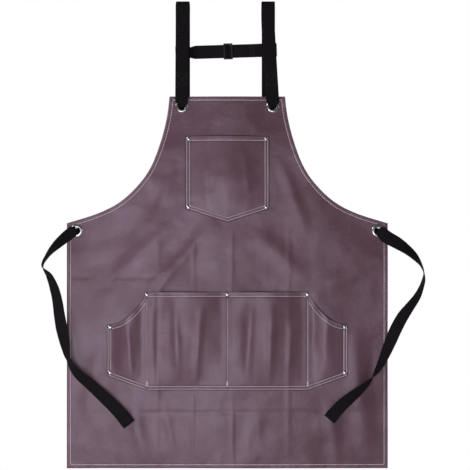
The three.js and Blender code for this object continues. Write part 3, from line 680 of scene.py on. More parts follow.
def waist_stand(x, z):
    out = np.abs(x)
    depth = (waist_mouth(x) - z) / (waist_mouth(x) - waist_bottom(x))
    centre = slack(out, CENTRE_POCKET_WIDTH, depth, CENTRE_GAPE)
    side = slack(out - CENTRE_POCKET_WIDTH, SIDE_POCKET_WIDTH, depth, SIDE_GAPE)
    return np.where(out < CENTRE_POCKET_WIDTH, centre, side)


def unsewn_front(x, z, stand):
    """Y of a pocket's front face at (x, z), leaving out what its stitching pulls in."""
    x, z = np.asarray(x, float), np.asarray(z, float)
    free = stand(x, z)
    folds = sum(rise * fold_line(x, z, start, end, width) for start, end, width, rise in POCKET_FOLDS)
    folds = folds + 0.5 * soft_noise(x, z, 33, 31)
    return POCKET_FRONT_Y - relief(x, z) - free - folds * np.clip(free / 3, 0, 1)


def seam_press(foot, mouth, divider):
    """How deep stitching presses a pocket, from the distances to its seams, in mm."""
    press = sum(0.42 * np.exp(-((foot - inset) / 0.75) ** 2) for inset in (OUTER_SEAM, INNER_SEAM))
    press = press - 0.2 * np.exp(-((foot - (OUTER_SEAM + INNER_SEAM) / 2) / 1.5) ** 2)
    press = press + 0.4 * np.exp(-((mouth - MOUTH_SEAM) / 0.8) ** 2) - 0.15 * np.exp(-((mouth - 4) / 2) ** 2)
    return press + 0.4 * np.exp(-(divider / 0.9) ** 2)


def front_of_pocket(x, z, stand, seams):
    """Y of a pocket's front face at (x, z), pressed in along its stitching."""
    foot, mouth, divider = seams(np.ravel(x), np.ravel(z))
    near = np.exp(-((foot - 6) / 6) ** 2) + np.exp(-(mouth - 8) ** 2 / 20)
    ripple = soft_noise(x, z, 8, 37).ravel() * 0.16 * near
    pressed = np.ravel(unsewn_front(x, z, stand)) + seam_press(foot, mouth, divider) - ripple
    return pressed.reshape(np.shape(x)) if np.ndim(x) else pressed[0]


# A pocket's cut edge: where its faces end, and the rounding between them as (inset, depth)
EDGE_INSET = 0.55
POCKET_EDGE = ((0.25, 0.18), (0.0, 0.7), (0.25, 1.22))


def build_pocket(name, x, z, stand, seams):
    """A closed leather piece on a grid whose first row is its mouth."""
    rows, columns = x.shape
    loop = np.array(grid_loop(rows, columns))
    centre_x, centre_z = x.mean(), z.mean()
    flat_x, flat_z = x.ravel(), z.ravel()
    run = np.stack([flat_x[loop], flat_z[loop]], 1)
    along = np.roll(run, -1, 0) - np.roll(run, 1, 0)
    normal = np.stack([along[:, 1], -along[:, 0]], 1)
    normal /= np.linalg.norm(normal, axis=1)[:, None]
    inward = np.sign(((np.array([centre_x, centre_z]) - run) * normal).sum(1).mean())
    normal *= inward
    front = np.stack([flat_x, front_of_pocket(flat_x, flat_z, stand, seams), flat_z], 1)
    back = np.stack([flat_x, unsewn_front(flat_x, flat_z, stand) + POCKET_LEATHER, flat_z], 1)
    rings = []
    for inset, depth in POCKET_EDGE:
        place = front[loop] + (0, depth, 0)
        place[:, 0] += normal[:, 0] * inset
        place[:, 2] += normal[:, 1] * inset
        rings.append(place)
    for part in (front, back):
        part[loop, 0] += normal[:, 0] * EDGE_INSET
        part[loop, 2] += normal[:, 1] * EDGE_INSET
    points = np.vstack([front, *rings, back])
    count = len(front)
    faces = grid_faces(rows, columns, 0, flip=True)
    faces += grid_faces(rows, columns, count + 3 * len(loop))
    edges = [np.arange(len(loop)) + count + k * len(loop) for k in range(3)]
    loops = [loop, *edges, loop + count + 3 * len(loop)]
    faces += loop_faces(loops)
    foot, mouth, divider = seams(points[:, 0], points[:, 2])
    distance = np.minimum(foot, mouth)
    wear_and_shade = np.exp(-((distance - 1.4) / 1.2) ** 2) * 0.7 + 0.2 * (distance < 8)
    # Painted shade: darker bands in the grooves beside the foot seams, under the mouth's hem line and along
    # the dividers
    for groove in (OUTER_SEAM + 0.9, INNER_SEAM + 0.9):
        wear_and_shade = wear_and_shade - 0.7 * np.exp(-((foot - groove) / 0.9) ** 2)
    wear_and_shade = wear_and_shade - 0.7 * np.exp(-((mouth - MOUTH_SEAM - 0.9) / 0.9) ** 2)
    wear_and_shade = wear_and_shade - 0.55 * np.exp(-((divider - 1.1) / 0.8) ** 2)
    # The cut edge is darkest: partly a dyed edge, partly a painted shadow beside the pocket
    wear_and_shade = np.where(distance < 1, -1.0, wear_and_shade)
    pocket = make_piece(name, points, faces, POCKET_LEATHER_LOOK, wear_and_shade=wear_and_shade)
    return pocket


LINE_POINTS = 1500


def line_distance(lines):
    """A function that gives each point's distance from the given lines."""
    return distance_to(np.vstack([resample(line, LINE_POINTS) for line in lines]))


CHEST_OUTLINE = [
    (-CHEST_HALF_WIDTH, CHEST_TOP_Z), (-CHEST_HALF_WIDTH, CHEST_TOP_Z - CHEST_SIDE_HEIGHT),
    (0, CHEST_TOP_Z - CHEST_SIDE_HEIGHT - CHEST_POINT_DEPTH),
    (CHEST_HALF_WIDTH, CHEST_TOP_Z - CHEST_SIDE_HEIGHT), (CHEST_HALF_WIDTH, CHEST_TOP_Z),
]
WAIST_HALF_WIDTH = CENTRE_POCKET_WIDTH + SIDE_POCKET_WIDTH


def scoop(side, count=40):
    """A side pocket's mouth from the centre pocket's corner to the outer edge."""
    x = np.linspace(CENTRE_POCKET_WIDTH, WAIST_HALF_WIDTH, count)
    return np.stack([side * x, waist_mouth(x)], 1)


HALF_FOOT = [
    (WAIST_HALF_WIDTH, WAIST_TOP_Z - SIDE_MOUTH_DROP), (WAIST_HALF_WIDTH, WAIST_BOTTOM_Z + SIDE_CORNER_RISE),
    (CENTRE_POCKET_WIDTH, WAIST_BOTTOM_Z),
]
WAIST_FOOT = [(-x, z) for x, z in HALF_FOOT] + HALF_FOOT[::-1]
WAIST_MOUTHS = [
    scoop(-1)[::-1], [(-CENTRE_POCKET_WIDTH, WAIST_TOP_Z), (CENTRE_POCKET_WIDTH, WAIST_TOP_Z)], scoop(1),
]
DIVIDERS = (-CENTRE_POCKET_WIDTH, 0, CENTRE_POCKET_WIDTH)


def with_steps(low, high, count):
    """The places in low and in high, with `count` even steps from one to the other."""
    return np.concatenate([low, np.linspace(low[-1], high[0], count + 1)[1:-1], high])


def graded(start, end, marks, coarse):
    """Places from start to end: at the marks from each end, and coarse steps between."""
    low, high = [start + m for m in marks[0]], [end - m for m in marks[1]][::-1]
    return with_steps(low, high, max(int(round((high[0] - low[-1]) / coarse)), 2))


SEAM_MARKS = [0, 0.9, 1.6, 2.4, 3.2, 4.2, 5.2, 6.2, 6.9, 7.6, 8.3, 9.2, 10.6]
MOUTH_MARKS = [0, 1.2, 2.8, 4.6, 6.4, 7.6, 8.5, 9.4, 10.8]
DIVIDER_MARKS = [0, 0.6, 1.2, 2.0, 3.4]


def pocket_rows(top, bottom, count):
    """Z of each row of one column: fine at the mouth's hem and at the foot's seams."""
    return with_steps([top - m for m in MOUTH_MARKS], [bottom + m for m in SEAM_MARKS][::-1], count)


NO_DIVIDER = 99.0


def pocket_seams(foot_lines, mouth_lines, dividers=()):
    """A function that gives the distances to the foot seam, the mouth and the dividers."""
    foot, mouth = line_distance(foot_lines), line_distance(mouth_lines)

    def seams(x, z):
        divider = np.min([np.full(len(x), NO_DIVIDER), *(np.abs(x - place) for place in dividers)], axis=0)
        return foot(x, z), mouth(x, z), divider
    return seams


chest_seams = pocket_seams([CHEST_OUTLINE], [[CHEST_OUTLINE[0], CHEST_OUTLINE[-1]]])
waist_seams = pocket_seams([WAIST_FOOT], WAIST_MOUTHS, DIVIDERS)


def pocket_grid(across, mouth, bottom, count):
    z = np.stack([pocket_rows(float(mouth(x)), float(bottom(x)), count) for x in across], 1)
    return np.repeat(across[None, :], len(z), 0), z


def build_chest_pocket():
    across = graded(-CHEST_HALF_WIDTH, CHEST_HALF_WIDTH, (SEAM_MARKS, SEAM_MARKS), 2.2)
    x, z = pocket_grid(across, lambda x: CHEST_TOP_Z, chest_bottom, 52)
    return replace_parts(build_pocket("chest_pocket_leather", x, z, chest_stand, chest_seams), "chest_pocket")


def build_waist_pocket():
    centre = graded(0, CENTRE_POCKET_WIDTH, (DIVIDER_MARKS, DIVIDER_MARKS), 2.4)
    side = graded(CENTRE_POCKET_WIDTH, WAIST_HALF_WIDTH, (DIVIDER_MARKS, SEAM_MARKS), 2.2)
    half = np.concatenate([centre, side[1:]])
    x, z = pocket_grid(np.concatenate([-half[:0:-1], half]), waist_mouth, waist_bottom, 54)
    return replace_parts(build_pocket("waist_pocket_leather", x, z, waist_stand, waist_seams), "waist_pocket")


panel = build_panel()
chest = build_chest_pocket()
waist = build_waist_pocket()

# ---- Stitching -------------------------------------------------------------

THREAD_RADIUS = 0.52
HEM_PITCH = 5.2
POCKET_PITCH = 4.6
TACK_STEP = 0.9
EYELET_CLEARANCE = 12.6


def capsule(start, end, radius, outward):
    """One stitch: a short thread, lowest at both ends."""
    start, end, outward = (np.array(v, float) for v in (start, end, outward))
    run = end - start
    length = np.linalg.norm(run)
    run /= length
    side = np.cross(run, outward)
    side /= np.linalg.norm(side)
    up = np.cross(side, run)
    points, faces = [], []
    for share, size, lift in ((-0.02, 0.35, -0.55), (0.08, 0.85, -0.1), (0.3, 1, 0.12), (0.7, 1, 0.12),
                              (0.92, 0.85, -0.1), (1.02, 0.35, -0.55)):
        centre = start + run * length * share + up * radius * lift
        for k in range(6):
            turn = math.pi * k / 3
            points.append(centre + radius * size * (math.cos(turn) * side + math.sin(turn) * up))
    for ring in range(5):
        for k in range(6):
            a, b = ring * 6 + k, ring * 6 + (k + 1) % 6
            faces.append([a, b, b + 6, a + 6])
    faces += [list(range(5, -1, -1)), list(range(30, 36))]
    return points, faces


def stitch_run(line, surface, outward=-1, pitch=HEM_PITCH, share=0.78, radius=THREAD_RADIUS, lift=0.18):
    """Stitches along a line of (x, z) points that lie on a surface y(x, z)."""
    line = np.asarray(line, float)
    length = np.linalg.norm(np.diff(line, axis=0), axis=1).sum()
    count = max(int(round(length / pitch)), 1)
    places = resample(line, count * 2 + 1)
    parts = []
    for i in range(count):
        a, b = places[2 * i], places[2 * i + 2]
        middle, half = (a + b) / 2, (b - a) / 2 * share
        if min(math.dist(middle, place) for place in EYELET_PLACES) < EYELET_CLEARANCE:
            continue
        ends = []
        for x, z in (middle - half, middle + half):
            ends.append((x, float(surface(x, z)) + outward * lift, z))
        parts.append(capsule(*ends, radius, (0, outward, 0)))
    return parts


def mitred(points, distance):
    """An open corner line moved sideways, corner by corner."""
    points = np.asarray(points, float)
    out = []
    for i, point in enumerate(points):
        into = point - points[i - 1] if i else points[1] - point
        away = points[i + 1] - point if i < len(points) - 1 else into
        n0, n1 = (np.array([-v[1], v[0]]) / np.linalg.norm(v) for v in (into, away))
        mitre = (n0 + n1) / np.linalg.norm(n0 + n1)
        out.append(point + mitre * distance / mitre.dot(n0))
    return np.array(out)


def trimmed(line, start, end):
    """A line without its first `start` and last `end` mm."""
    line = np.asarray(line, float)
    lengths = np.concatenate([[0], np.cumsum(np.linalg.norm(np.diff(line, axis=0), axis=1))])
    fine = resample(line, int(lengths[-1] * 2) + 2)
    places = np.linspace(0, lengths[-1], len(fine))
    return fine[(places >= start) & (places <= lengths[-1] - end)]


def bar_tack(x, z, height, width, surface):
    """A dense zigzag of thread where a seam ends."""
    parts = []
    for k in range(int(height / TACK_STEP)):
        level = z - height / 2 + TACK_STEP * k
        parts += stitch_run([(x - width / 2, level), (x + width / 2, level + TACK_STEP / 2)], surface,
                            pitch=9, share=1.0, radius=0.36)
    return parts


def behind_front(depth):
    """The surface that lies this deep behind the panel's front face."""
    return lambda x, z: front_of_panel(x, z) + depth


def stitch_piece(name, parts, material=PALE_THREAD, body="apron"):
    points, faces = join_parts(parts)
    return make_piece(name, points, faces, material, body)


back_of_panel = behind_front(LEATHER)
hem_front, hem_back = behind_front(0.06), behind_front(HEM_THICKNESS)
hem_line = panel_outline(HEM_STITCH_INSET)
hem_stitching = stitch_piece(
    "hem_stitching", stitch_run(hem_line, hem_front) + stitch_run(hem_line, hem_back, 1))

chest_front = lambda x, z: front_of_pocket(x, z, chest_stand, chest_seams)
waist_front = lambda x, z: front_of_pocket(x, z, waist_stand, waist_seams)


def through_stitches(lines, surface, trim):
    """Seams that show on a pocket's front and on the panel's back."""
    parts = []
    for line in lines:
        line = trimmed(line, trim, trim)
        parts += stitch_run(line, surface, pitch=POCKET_PITCH)
        parts += stitch_run(line, back_of_panel, 1, pitch=POCKET_PITCH)
    return parts


chest_lines = [mitred(CHEST_OUTLINE, OUTER_SEAM), mitred(CHEST_OUTLINE, INNER_SEAM)]
chest_mouth = [(side * (CHEST_HALF_WIDTH - 3), CHEST_TOP_Z - MOUTH_SEAM) for side in (-1, 1)]
chest_parts = through_stitches(chest_lines, chest_front, 2)
chest_parts += stitch_run(chest_mouth, chest_front, pitch=POCKET_PITCH)
chest_stitching = stitch_piece("chest_pocket_stitching", chest_parts)

waist_lines = [mitred(WAIST_FOOT, OUTER_SEAM), mitred(WAIST_FOOT, INNER_SEAM)]
waist_lines += [[(x, WAIST_TOP_Z - 12), (x, WAIST_BOTTOM_Z + 9)] for x in DIVIDERS]
waist_parts = through_stitches(waist_lines, waist_front, 1)
mouth_z, off_divider = WAIST_TOP_Z - MOUTH_SEAM, 3
for start, end in zip(DIVIDERS, DIVIDERS[1:]):
    mouth_line = [(start + off_divider, mouth_z), (end - off_divider, mouth_z)]
    waist_parts += stitch_run(mouth_line, waist_front, pitch=POCKET_PITCH)
for side in (-1, 1):
    line = offset_line(scoop(side), MOUTH_SEAM * side)
    kept = line[np.abs(line[:, 0]) > CENTRE_POCKET_WIDTH + 1.5]
    waist_parts += stitch_run(kept, waist_front, pitch=POCKET_PITCH)
for x in DIVIDERS:
    waist_parts += bar_tack(x, WAIST_BOTTOM_Z + 12, 9, 3.2, waist_front)
waist_stitching = stitch_piece("waist_pocket_stitching", waist_parts)

# ---- Eyelets and rivets ----------------------------------------------------

# Round bodies as (radius, y) profiles; a seat lies a gap in front of what it presses on
SEAT_GAP = 0.3
ROUND_SEGMENTS = 72
RIVET_SEGMENTS = 36
SEAT_Y = PANEL_FRONT_Y - SEAT_GAP
EYELET_PROFILE = [
    *((radius, EYELET_FRONT_Y + shift) for radius, shift in (
        (6.25, 0.9), (6.45, 0.35), (7.1, 0), (8.0, -0.05), (9.4, 0), (10.7, 0.25), (11.5, 0.65))),
    (11.75, SEAT_Y - 0.25), (11.7, SEAT_Y), (11.2, SEAT_Y), (6.8, SEAT_Y),
    (6.8, -2.4), (7.9, -2.4), (8.6, -2.25), (8.7, -2.05),
    (8.3, -1.75), (7.3, -1.6), (6.6, -1.7), (6.28, -2.0), (6.25, -3.0),
]
WASHER_PROFILE = [
    (7.1, -3.6), (9.5, -3.6), (9.8, -3.5), (9.8, -3.25), (9.4, -2.9), (8.9, -2.72), (7.4, -2.7), (7.1, -2.85),
]


def closed_lathe(profile, x, z):
    """A ring about an axis along Y, whose profile closes on itself."""
    points, faces = lathe(profile, ROUND_SEGMENTS, x, 0, z)
    last = (len(profile) - 1) * ROUND_SEGMENTS
    turned = list(range(1, ROUND_SEGMENTS)) + [0]
    return points, faces + [[last + i, last + j, j, i] for i, j in enumerate(turned)]


for name, (x, z) in zip(("left_bib", "right_bib", "left_waist", "right_waist"), EYELET_PLACES):
    ring = make_piece(f"{name}_eyelet_ring", *closed_lathe(EYELET_PROFILE, x, z), NICKEL)
    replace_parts(ring, f"{name}_eyelet")
    washer = make_piece(f"{name}_eyelet_back_washer", *closed_lathe(WASHER_PROFILE, x, z), NICKEL)
    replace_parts(washer, f"{name}_eyelet_washer")

CAP_SEAT = POCKET_FRONT_Y - SEAT_GAP
CAP_PROFILE = [
    *((radius, CAP_SEAT + shift) for radius, shift in (
        (0, -1.7), (0.8, -1.68), (1.6, -1.58), (2.4, -1.38), (3.1, -1.05), (3.6, -0.65), (3.86, -0.3),
        (3.9, -0.1), (3.8, 0.12), (1.5, 0.12))),
    (1.5, -3.0), (0, -3.0),
]
BACK_PROFILE = [
    (0, -2.7), (1.8, -2.7), (1.8, -3.6), (3.35, -3.6), (3.5, -3.45), (3.5, -3.1), (3.3, -2.75), (2.7, -2.4),
    (1.9, -2.12), (1.0, -2.02), (0, -2.0),
]


def build_rivets(name, places):
    caps, backs = [], []
    for x, z in places:
        shift = -float(relief(x, z))
        caps.append(lathe(CAP_PROFILE, RIVET_SEGMENTS, x, shift, z))
        backs.append(lathe(BACK_PROFILE, RIVET_SEGMENTS, x, shift, z))
    for label, parts, ending in (("caps", caps, ""), ("backs", backs, "_back")):
        piece = make_piece(f"{name}_rivet_{label}", *join_parts(parts), RIVET_NICKEL)
        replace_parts(piece, *[f"{name}_rivet_{i + 1}{ending}" for i in range(len(places))])


build_rivets("chest", CHEST_RIVETS)
build_rivets("waist", WAIST_RIVETS)

# ---- Webbing ---------------------------------------------------------------

def centripetal(points):
    """A centripetal Catmull-Rom curve through points, as a function of 0 to 1."""
    points = [np.array(p, float) for p in points]
    first, last = 2 * points[0] - points[1], 2 * points[-1] - points[-2]
    padded_points = [first, *points, last]

    def at(share):
        place = share * (len(points) - 1)
        i = min(int(place), len(points) - 2)
        t = place - i
        p0, p1, p2, p3 = padded_points[i:i + 4]
        d0, d1, d2 = (max(np.linalg.norm(b - a) ** 0.5, 1e-4) for a, b in ((p0, p1), (p1, p2), (p2, p3)))
        t1 = ((p1 - p0) / d0 - (p2 - p0) / (d0 + d1) + (p2 - p1) / d1) * d1
        t2 = ((p2 - p1) / d1 - (p3 - p1) / (d1 + d2) + (p3 - p2) / d2) * d1
        return p1 + t1 * t + (-3 * p1 + 3 * p2 - 2 * t1 - t2) * t ** 2 + (2 * p1 - 2 * p2 + t1 + t2) * t ** 3
    return at


def webbing_slices(stations, steps):
    """Centre, half-width vector, half-thickness vector and width along a strap.

    Each station is (x, y, z), (across), width, thickness.
    """
    curve = centripetal([s[0] for s in stations])
    last = len(stations) - 1
    out = []
    for i in range(last * steps + 1):
        place = i / steps
        k = min(int(place), last - 1)
        t = place - k
        here, there = stations[k], stations[k + 1]
        share = place / last
        ahead, behind = curve(min(share + 1e-4, 1)), curve(max(share - 1e-4, 0))
        along = (ahead - behind) / np.linalg.norm(ahead - behind)
        across = np.array(here[1], float) * (1 - t) + np.array(there[1], float) * t
        across -= along * across.dot(along)
        across /= np.linalg.norm(across)
        outward = np.cross(along, across)
        width = here[2] * (1 - t) + there[2] * t
        thick = here[3] * (1 - t) + there[3] * t
        out.append((curve(share), across * width / 2, outward * thick / 2, width))
    return out


SECTION_STEPS = 12


def webbing_shell(slices, nominal=WEBBING_WIDTH):
    """Points, faces and UVs of a tape with round edges, pleated where it is gathered."""
    edge = [(-0.985, 0.55), (-1, 0)]
    top = [(-1 + 2 * k / SECTION_STEPS, 1) for k in range(SECTION_STEPS + 1)]
    top[0], top[-1] = (-0.955, 0.92), (0.955, 0.92)
    section = [*edge[::-1], *top, (0.985, 0.55), (1, 0), (0.985, -0.55)] + \
        [(u, -v) for u, v in top[::-1]] + [(-0.985, -0.55)]
    points, uvs, faces = [], [], []
    run, before = 0, None
    for centre, half, rise, width in slices:
        if before is not None:
            run += np.linalg.norm(centre - before)
        before = centre
        gather = np.clip((nominal - 2 - width) / nominal, 0, 1)
        unit = rise / np.linalg.norm(rise)
        for u, v in section:
            pleat = 1.5 * gather * math.cos(2.5 * math.pi * u)
            points.append(centre + half * u + rise * v * (1 - 0.35 * gather) + unit * pleat)
            uvs.append((u * nominal / 2, run))
    ring = len(section)
    for i in range(len(slices) - 1):
        for k in range(ring):
            a, b = i * ring + k, i * ring + (k + 1) % ring
            faces.append([a, a + ring, b + ring, b])
    last = (len(slices) - 1) * ring
    faces += [list(range(ring)), list(range(last + ring - 1, last - 1, -1))]
    return points, faces, uvs


def merge_shells(shells):
    points, faces = join_parts([shell[:2] for shell in shells])
    return points, faces, [uv for shell in shells for uv in shell[2]]


def flat_station(x, y, z, across=(1, 0, 0), width=WEBBING_WIDTH, thick=WEBBING_THICKNESS):
    return ((x, y, z), across, width, thick)


STRAP_TOP_X = {"left": -84, "right": 76}
STRAP_BACK_X = {"left": -82.5, "right": 77}
BACK_RUN_LENGTH = 290
BACK_RUN_LEVEL = 50


def strap_stations(name):
    """The shoulder strap's route: its tail behind the bib, the eyelet, over the rail, the back run."""
    side = SIDES[name]
    x = side * BIB_EYELET_X
    top_x, back_x = STRAP_TOP_X[name], STRAP_BACK_X[name]
    sewn_y, behind_y, over_y = -5.7, -0.3, -8.9
    middle_y = (PANEL_FRONT_Y + PANEL_BACK_Y) / 2
    drift = lambda share: x + (top_x - x) * share
    rows = [
        (drift(0.44), sewn_y, BIB_TOP_Z + 46), (drift(0.22), sewn_y, BIB_TOP_Z + 16),
        (drift(0.12), (sewn_y + behind_y) / 2 + 1, BIB_TOP_Z + 8, 23),
        (x, behind_y, BIB_TOP_Z, 21), (x, behind_y + 0.9, BIB_EYELET_Z + 9, 17, 2.2),
        (x, behind_y + 1.4, BIB_EYELET_Z + 2, 14, 2.4), (x, behind_y + 1.2, BIB_EYELET_Z - 2.6, 12, 2.8),
        (x, EYELET_BACK_Y - 0.6, BIB_EYELET_Z - 2.4, 10.4, 3.4), (x, middle_y, BIB_EYELET_Z - 1.6, 10.4, 4),
        (x, over_y + 1.2, BIB_EYELET_Z - 0.6, 11, 3.4), (x, over_y, BIB_EYELET_Z + 3.6, 19, 2.2),
        (x, over_y, BIB_EYELET_Z + 9, 24, 1.9), (drift(0.15), -FOLD_RADIUS - 0.5, BIB_TOP_Z + 4),
        (drift(0.4), -FOLD_RADIUS, BIB_TOP_Z + 40), (top_x, -FOLD_RADIUS, -30),
    ]
    route = [flat_station(*row[:3], (1, 0, 0), *row[3:]) for row in rows]
    for i in range(7):
        turn = math.pi * (1 - i / 6)
        route.append(flat_station(top_x + (back_x - top_x) * i / 6, FOLD_RADIUS * math.cos(turn),
                                  FOLD_RADIUS * math.sin(turn)))
    for z in (-30, -0.6 * BACK_RUN_LENGTH, -0.85 * BACK_RUN_LENGTH):
        route.append(flat_station(back_x, FOLD_RADIUS, z))
    end_x, end_y, end_z = side * WAIST_EYELET_X, EYELET_BACK_Y + 2.4, WAIST_EYELET_Z
    reach, drop = end_x - side * BACK_RUN_LEVEL - back_x, end_z + BACK_RUN_LENGTH
    for step in range(7):
        turn = math.pi / 2 * step / 6
        along = np.array([reach * math.sin(turn), 0, drop * math.cos(turn)])
        along /= np.linalg.norm(along)
        place = (back_x + reach * (1 - math.cos(turn)), FOLD_RADIUS + (end_y - FOLD_RADIUS) * step / 6,
                 -BACK_RUN_LENGTH + drop * math.sin(turn))
        route.append(flat_station(*place, (-along[2], 0, along[0])))
    level = (0, 0, side)
    for distance, y, width, thick in (
            (22, end_y, 20, 2), (8, end_y, 13, 2.6), (3, EYELET_BACK_Y + 1.8, *GATHERED),
            (0.4, EYELET_BACK_Y - 0.2, *GATHERED), (0, middle_y + 0.15, *GATHERED)):
        route.append(flat_station(end_x - side * distance, y, end_z, level, width, thick))
    return route


def strap_stitches(name):
    """Black box stitching that holds the strap's tail behind its front run."""
    x = SIDES[name] * BIB_EYELET_X
    drift = (STRAP_TOP_X[name] - x) * 0.4
    face = lambda px, pz: -FOLD_RADIUS - WEBBING_THICKNESS / 2 - 0.1
    centre = x + drift * 0.8
    low, high, half = BIB_TOP_Z + 20, BIB_TOP_Z + 42, 9
    corners = [(centre - half, low), (centre + half, low), (centre + half, high), (centre - half, high)]
    parts = []
    for a, b in ((0, 1), (1, 2), (2, 3), (3, 0), (0, 2), (1, 3)):
        parts += stitch_run([corners[a], corners[b]], face, pitch=3, radius=0.3)
    return parts


for name in SIDES:
    points, faces, uvs = webbing_shell(webbing_slices(strap_stations(name), 6))
    strap = make_piece(f"{name}_strap_webbing", points, faces, STRAP_WEBBING, uvs=uvs)
    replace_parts(strap, f"{name}_shoulder_strap")
    stitch_piece(f"{name}_strap_stitching", strap_stitches(name), BLACK_THREAD)

# Each tie's route from its eyelet, as in the CAD source: across, towards the front,
# down, and the angle in degrees by which the webbing stands on edge.
TIE_ROUTES = {
    "left": [
        (-9, 9, -4, 25), (-18, 11, -11, 38), (-34, 13, -25, 52), (-51, 14, -44, 76), (-62, 14.5, -66, 90),
        (-49.5, 14.5, -84, 122), (-40, 15, -107, 138), (-34, 16, -131, 144), (-30.5, 16.5, -155, 150),
        (-26, 17, -181, 156), (-20, 18.5, -209, 142), (-13, 21, -239, 112), (3.5, 19.5, -265, 138),
        (26, 17, -285, 150), (52, 15.5, -309, 160), (78, 14, -335, 168), (99.5, 13, -361, 172),
    ],
    "right": [
        (7, 9, -4, 5), (14, 11, -11, 12), (33, 13, -22, 22), (51, 14, -34, 42), (66.5, 14.5, -47.5, 56),
        (78, 14.5, -62.5, 75), (84, 14.5, -78, 84), (83.5, 14.5, -91, 96), (78.5, 15, -107, 104),
        (71, 15.5, -123, 115), (56, 16.5, -143.5, 129), (45, 17.5, -158.5, 142), (32.5, 18, -181, 148),
        (22.5, 18.5, -203.5, 145), (12, 19.5, -228.5, 130), (3, 21, -248, 116), (-4.5, 22, -261, 105),
        (-18.5, 21, -280, 68), (-35.5, 19, -296, 47), (-55, 16.5, -312.5, 30), (-74, 14.5, -330, 18),
        (-92, 13, -351.5, 10),
    ],
}


def tie_stations(name):
    start_x = SIDES[name] * WAIST_EYELET_X
    start_y = (PANEL_FRONT_Y + PANEL_BACK_Y) / 2 - 0.15
    rows = TIE_ROUTES[name]
    places = [np.array([start_x + x, PANEL_FRONT_Y - out, WAIST_EYELET_Z + z]) for x, out, z, _ in rows]
    route = []
    for i, (_, _, _, degrees) in enumerate(rows):
        along = places[min(i + 1, len(rows) - 1)] - places[max(i - 1, 0)]
        along[1] = 0
        along /= np.linalg.norm(along)
        turn = math.radians(degrees)
        across = np.array([-along[2], 0, along[0]]) * math.cos(turn)
        across[1] = math.sin(turn)
        route.append((tuple(places[i]), tuple(across), 22.5 if i == 0 else WEBBING_WIDTH, WEBBING_THICKNESS))
    across = route[0][1]
    lead = [
        ((start_x, start_y, WAIST_EYELET_Z), across, *GATHERED),
        ((start_x, start_y - 3.2, WAIST_EYELET_Z), across, 12.5, 3),
        ((start_x + 0.25 * (places[0][0] - start_x), start_y - 8, WAIST_EYELET_Z - 0.4), across, 18.5, 2.6),
    ]
    return lead + route


def build_tie(name):
    slices = webbing_slices(tie_stations(name), 6)
    fold = []
    for centre, half, rise, width in slices[-4:]:
        fold.append((centre - rise * 1.95, half * 0.985, rise * 0.9, width))
    shells = [webbing_shell(slices), webbing_shell(fold)]
    points, faces, uvs = merge_shells(shells)
    tie = make_piece(f"{name}_tie_webbing", points, faces, TIE_WEBBING_PAINTED_PALER, f"{name}_tie", uvs=uvs)
    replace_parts(tie, f"{name}_tie")
    path = [tuple(centre * MM) for centre, _, _, _ in slices]
    length = sum(np.linalg.norm(np.subtract(b, a)) for a, b in zip(path, path[1:]))
    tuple(path[0])
    return tie


for name in SIDES:
    build_tie(name)

# ---- Link and slider -------------------------------------------------------

LINK_FRONT_Y, LINK_BACK_Y, LOOP_RADIUS = 5.5, 9.3, 1.9
# The rows of thread that close the link's loop, and half their height
LOOP_SEAM_X = (44, 46.5, 49, 51.5, 54)
LOOP_SEAM_HALF = 10.5


def link_station(x, y, width=WEBBING_WIDTH):
    return ((x, y, 0), (0, 0, 1), width, LINK_THICKNESS)


def loop_turn(centre_x, side):
    out = []
    for i in range(7):
        turn = math.pi * (1 - i / 6)
        out.append(link_station(centre_x + side * LOOP_RADIUS * math.sin(turn),
                                FOLD_RADIUS + LOOP_RADIUS * math.cos(turn)))
    return out


def in_place(points):
    """From the link's own frame, level and at the origin, to its tilted place."""
    points = np.asarray(points, float)
    x, y, z = points.T
    return np.stack([x * math.cos(LINK_TILT) - z * math.sin(LINK_TILT), y,
                     x * math.sin(LINK_TILT) + z * math.cos(LINK_TILT) + LINK_Z], 1)


def build_link():
    tail_y, base_y, return_y = LINK_LAYER_Y
    half = WEBBING_WIDTH / 2
    right_inner, left_inner = STRAP_BACK_X["right"] - half, STRAP_BACK_X["left"] + half
    strip = [
        link_station(41, base_y - 0.55, 24.6), link_station(right_inner - 7, base_y - 0.55),
        link_station(right_inner - 1, LINK_FRONT_Y),
        *loop_turn(STRAP_BACK_X["right"] + half + 1, 1),
        link_station(right_inner - 1, LINK_BACK_Y), link_station(right_inner - 7, base_y + 0.55),
        link_station(41, base_y + 0.55), link_station(21, base_y), link_station(left_inner + 8, base_y, 24),
        link_station(left_inner + 1, LINK_FRONT_Y, 20), *loop_turn(STRAP_BACK_X["left"] - half, -1),
        link_station(left_inner + 1, LINK_BACK_Y, 20), link_station(left_inner + 8, return_y, 24),
        link_station(21, return_y),
    ]
    tail = [
        link_station(-66, tail_y, 14), link_station(-65, tail_y, 19.5), link_station(-63, tail_y, 23.4),
        link_station(-60, tail_y, 25), link_station(-30, tail_y - 0.05, 25), link_station(1.5, tail_y, 25),
    ]
    shells = [webbing_shell(webbing_slices(strip, 5)), webbing_shell(webbing_slices(tail, 6))]
    points, faces, uvs = merge_shells(shells)
    link = make_piece("link_webbing", in_place(points), faces, LINK_WEBBING, "link", uvs=uvs)
    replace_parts(link, "link_strap")
    parts = []
    front = lambda x, z: base_y - 0.55 - LINK_THICKNESS / 2
    for x in LOOP_SEAM_X:
        parts += stitch_run([(x, -LOOP_SEAM_HALF), (x, LOOP_SEAM_HALF)], front,
                            pitch=1.7, radius=0.32, share=0.85)
    tail_face = lambda x, z: tail_y - LINK_THICKNESS / 2
    parts += stitch_run([(-62, -9), (-62, 9)], tail_face, pitch=2, radius=0.28)
    points, faces = join_parts(parts)
    make_piece("link_stitching", in_place(points), faces, BLACK_THREAD, "link")


build_link()


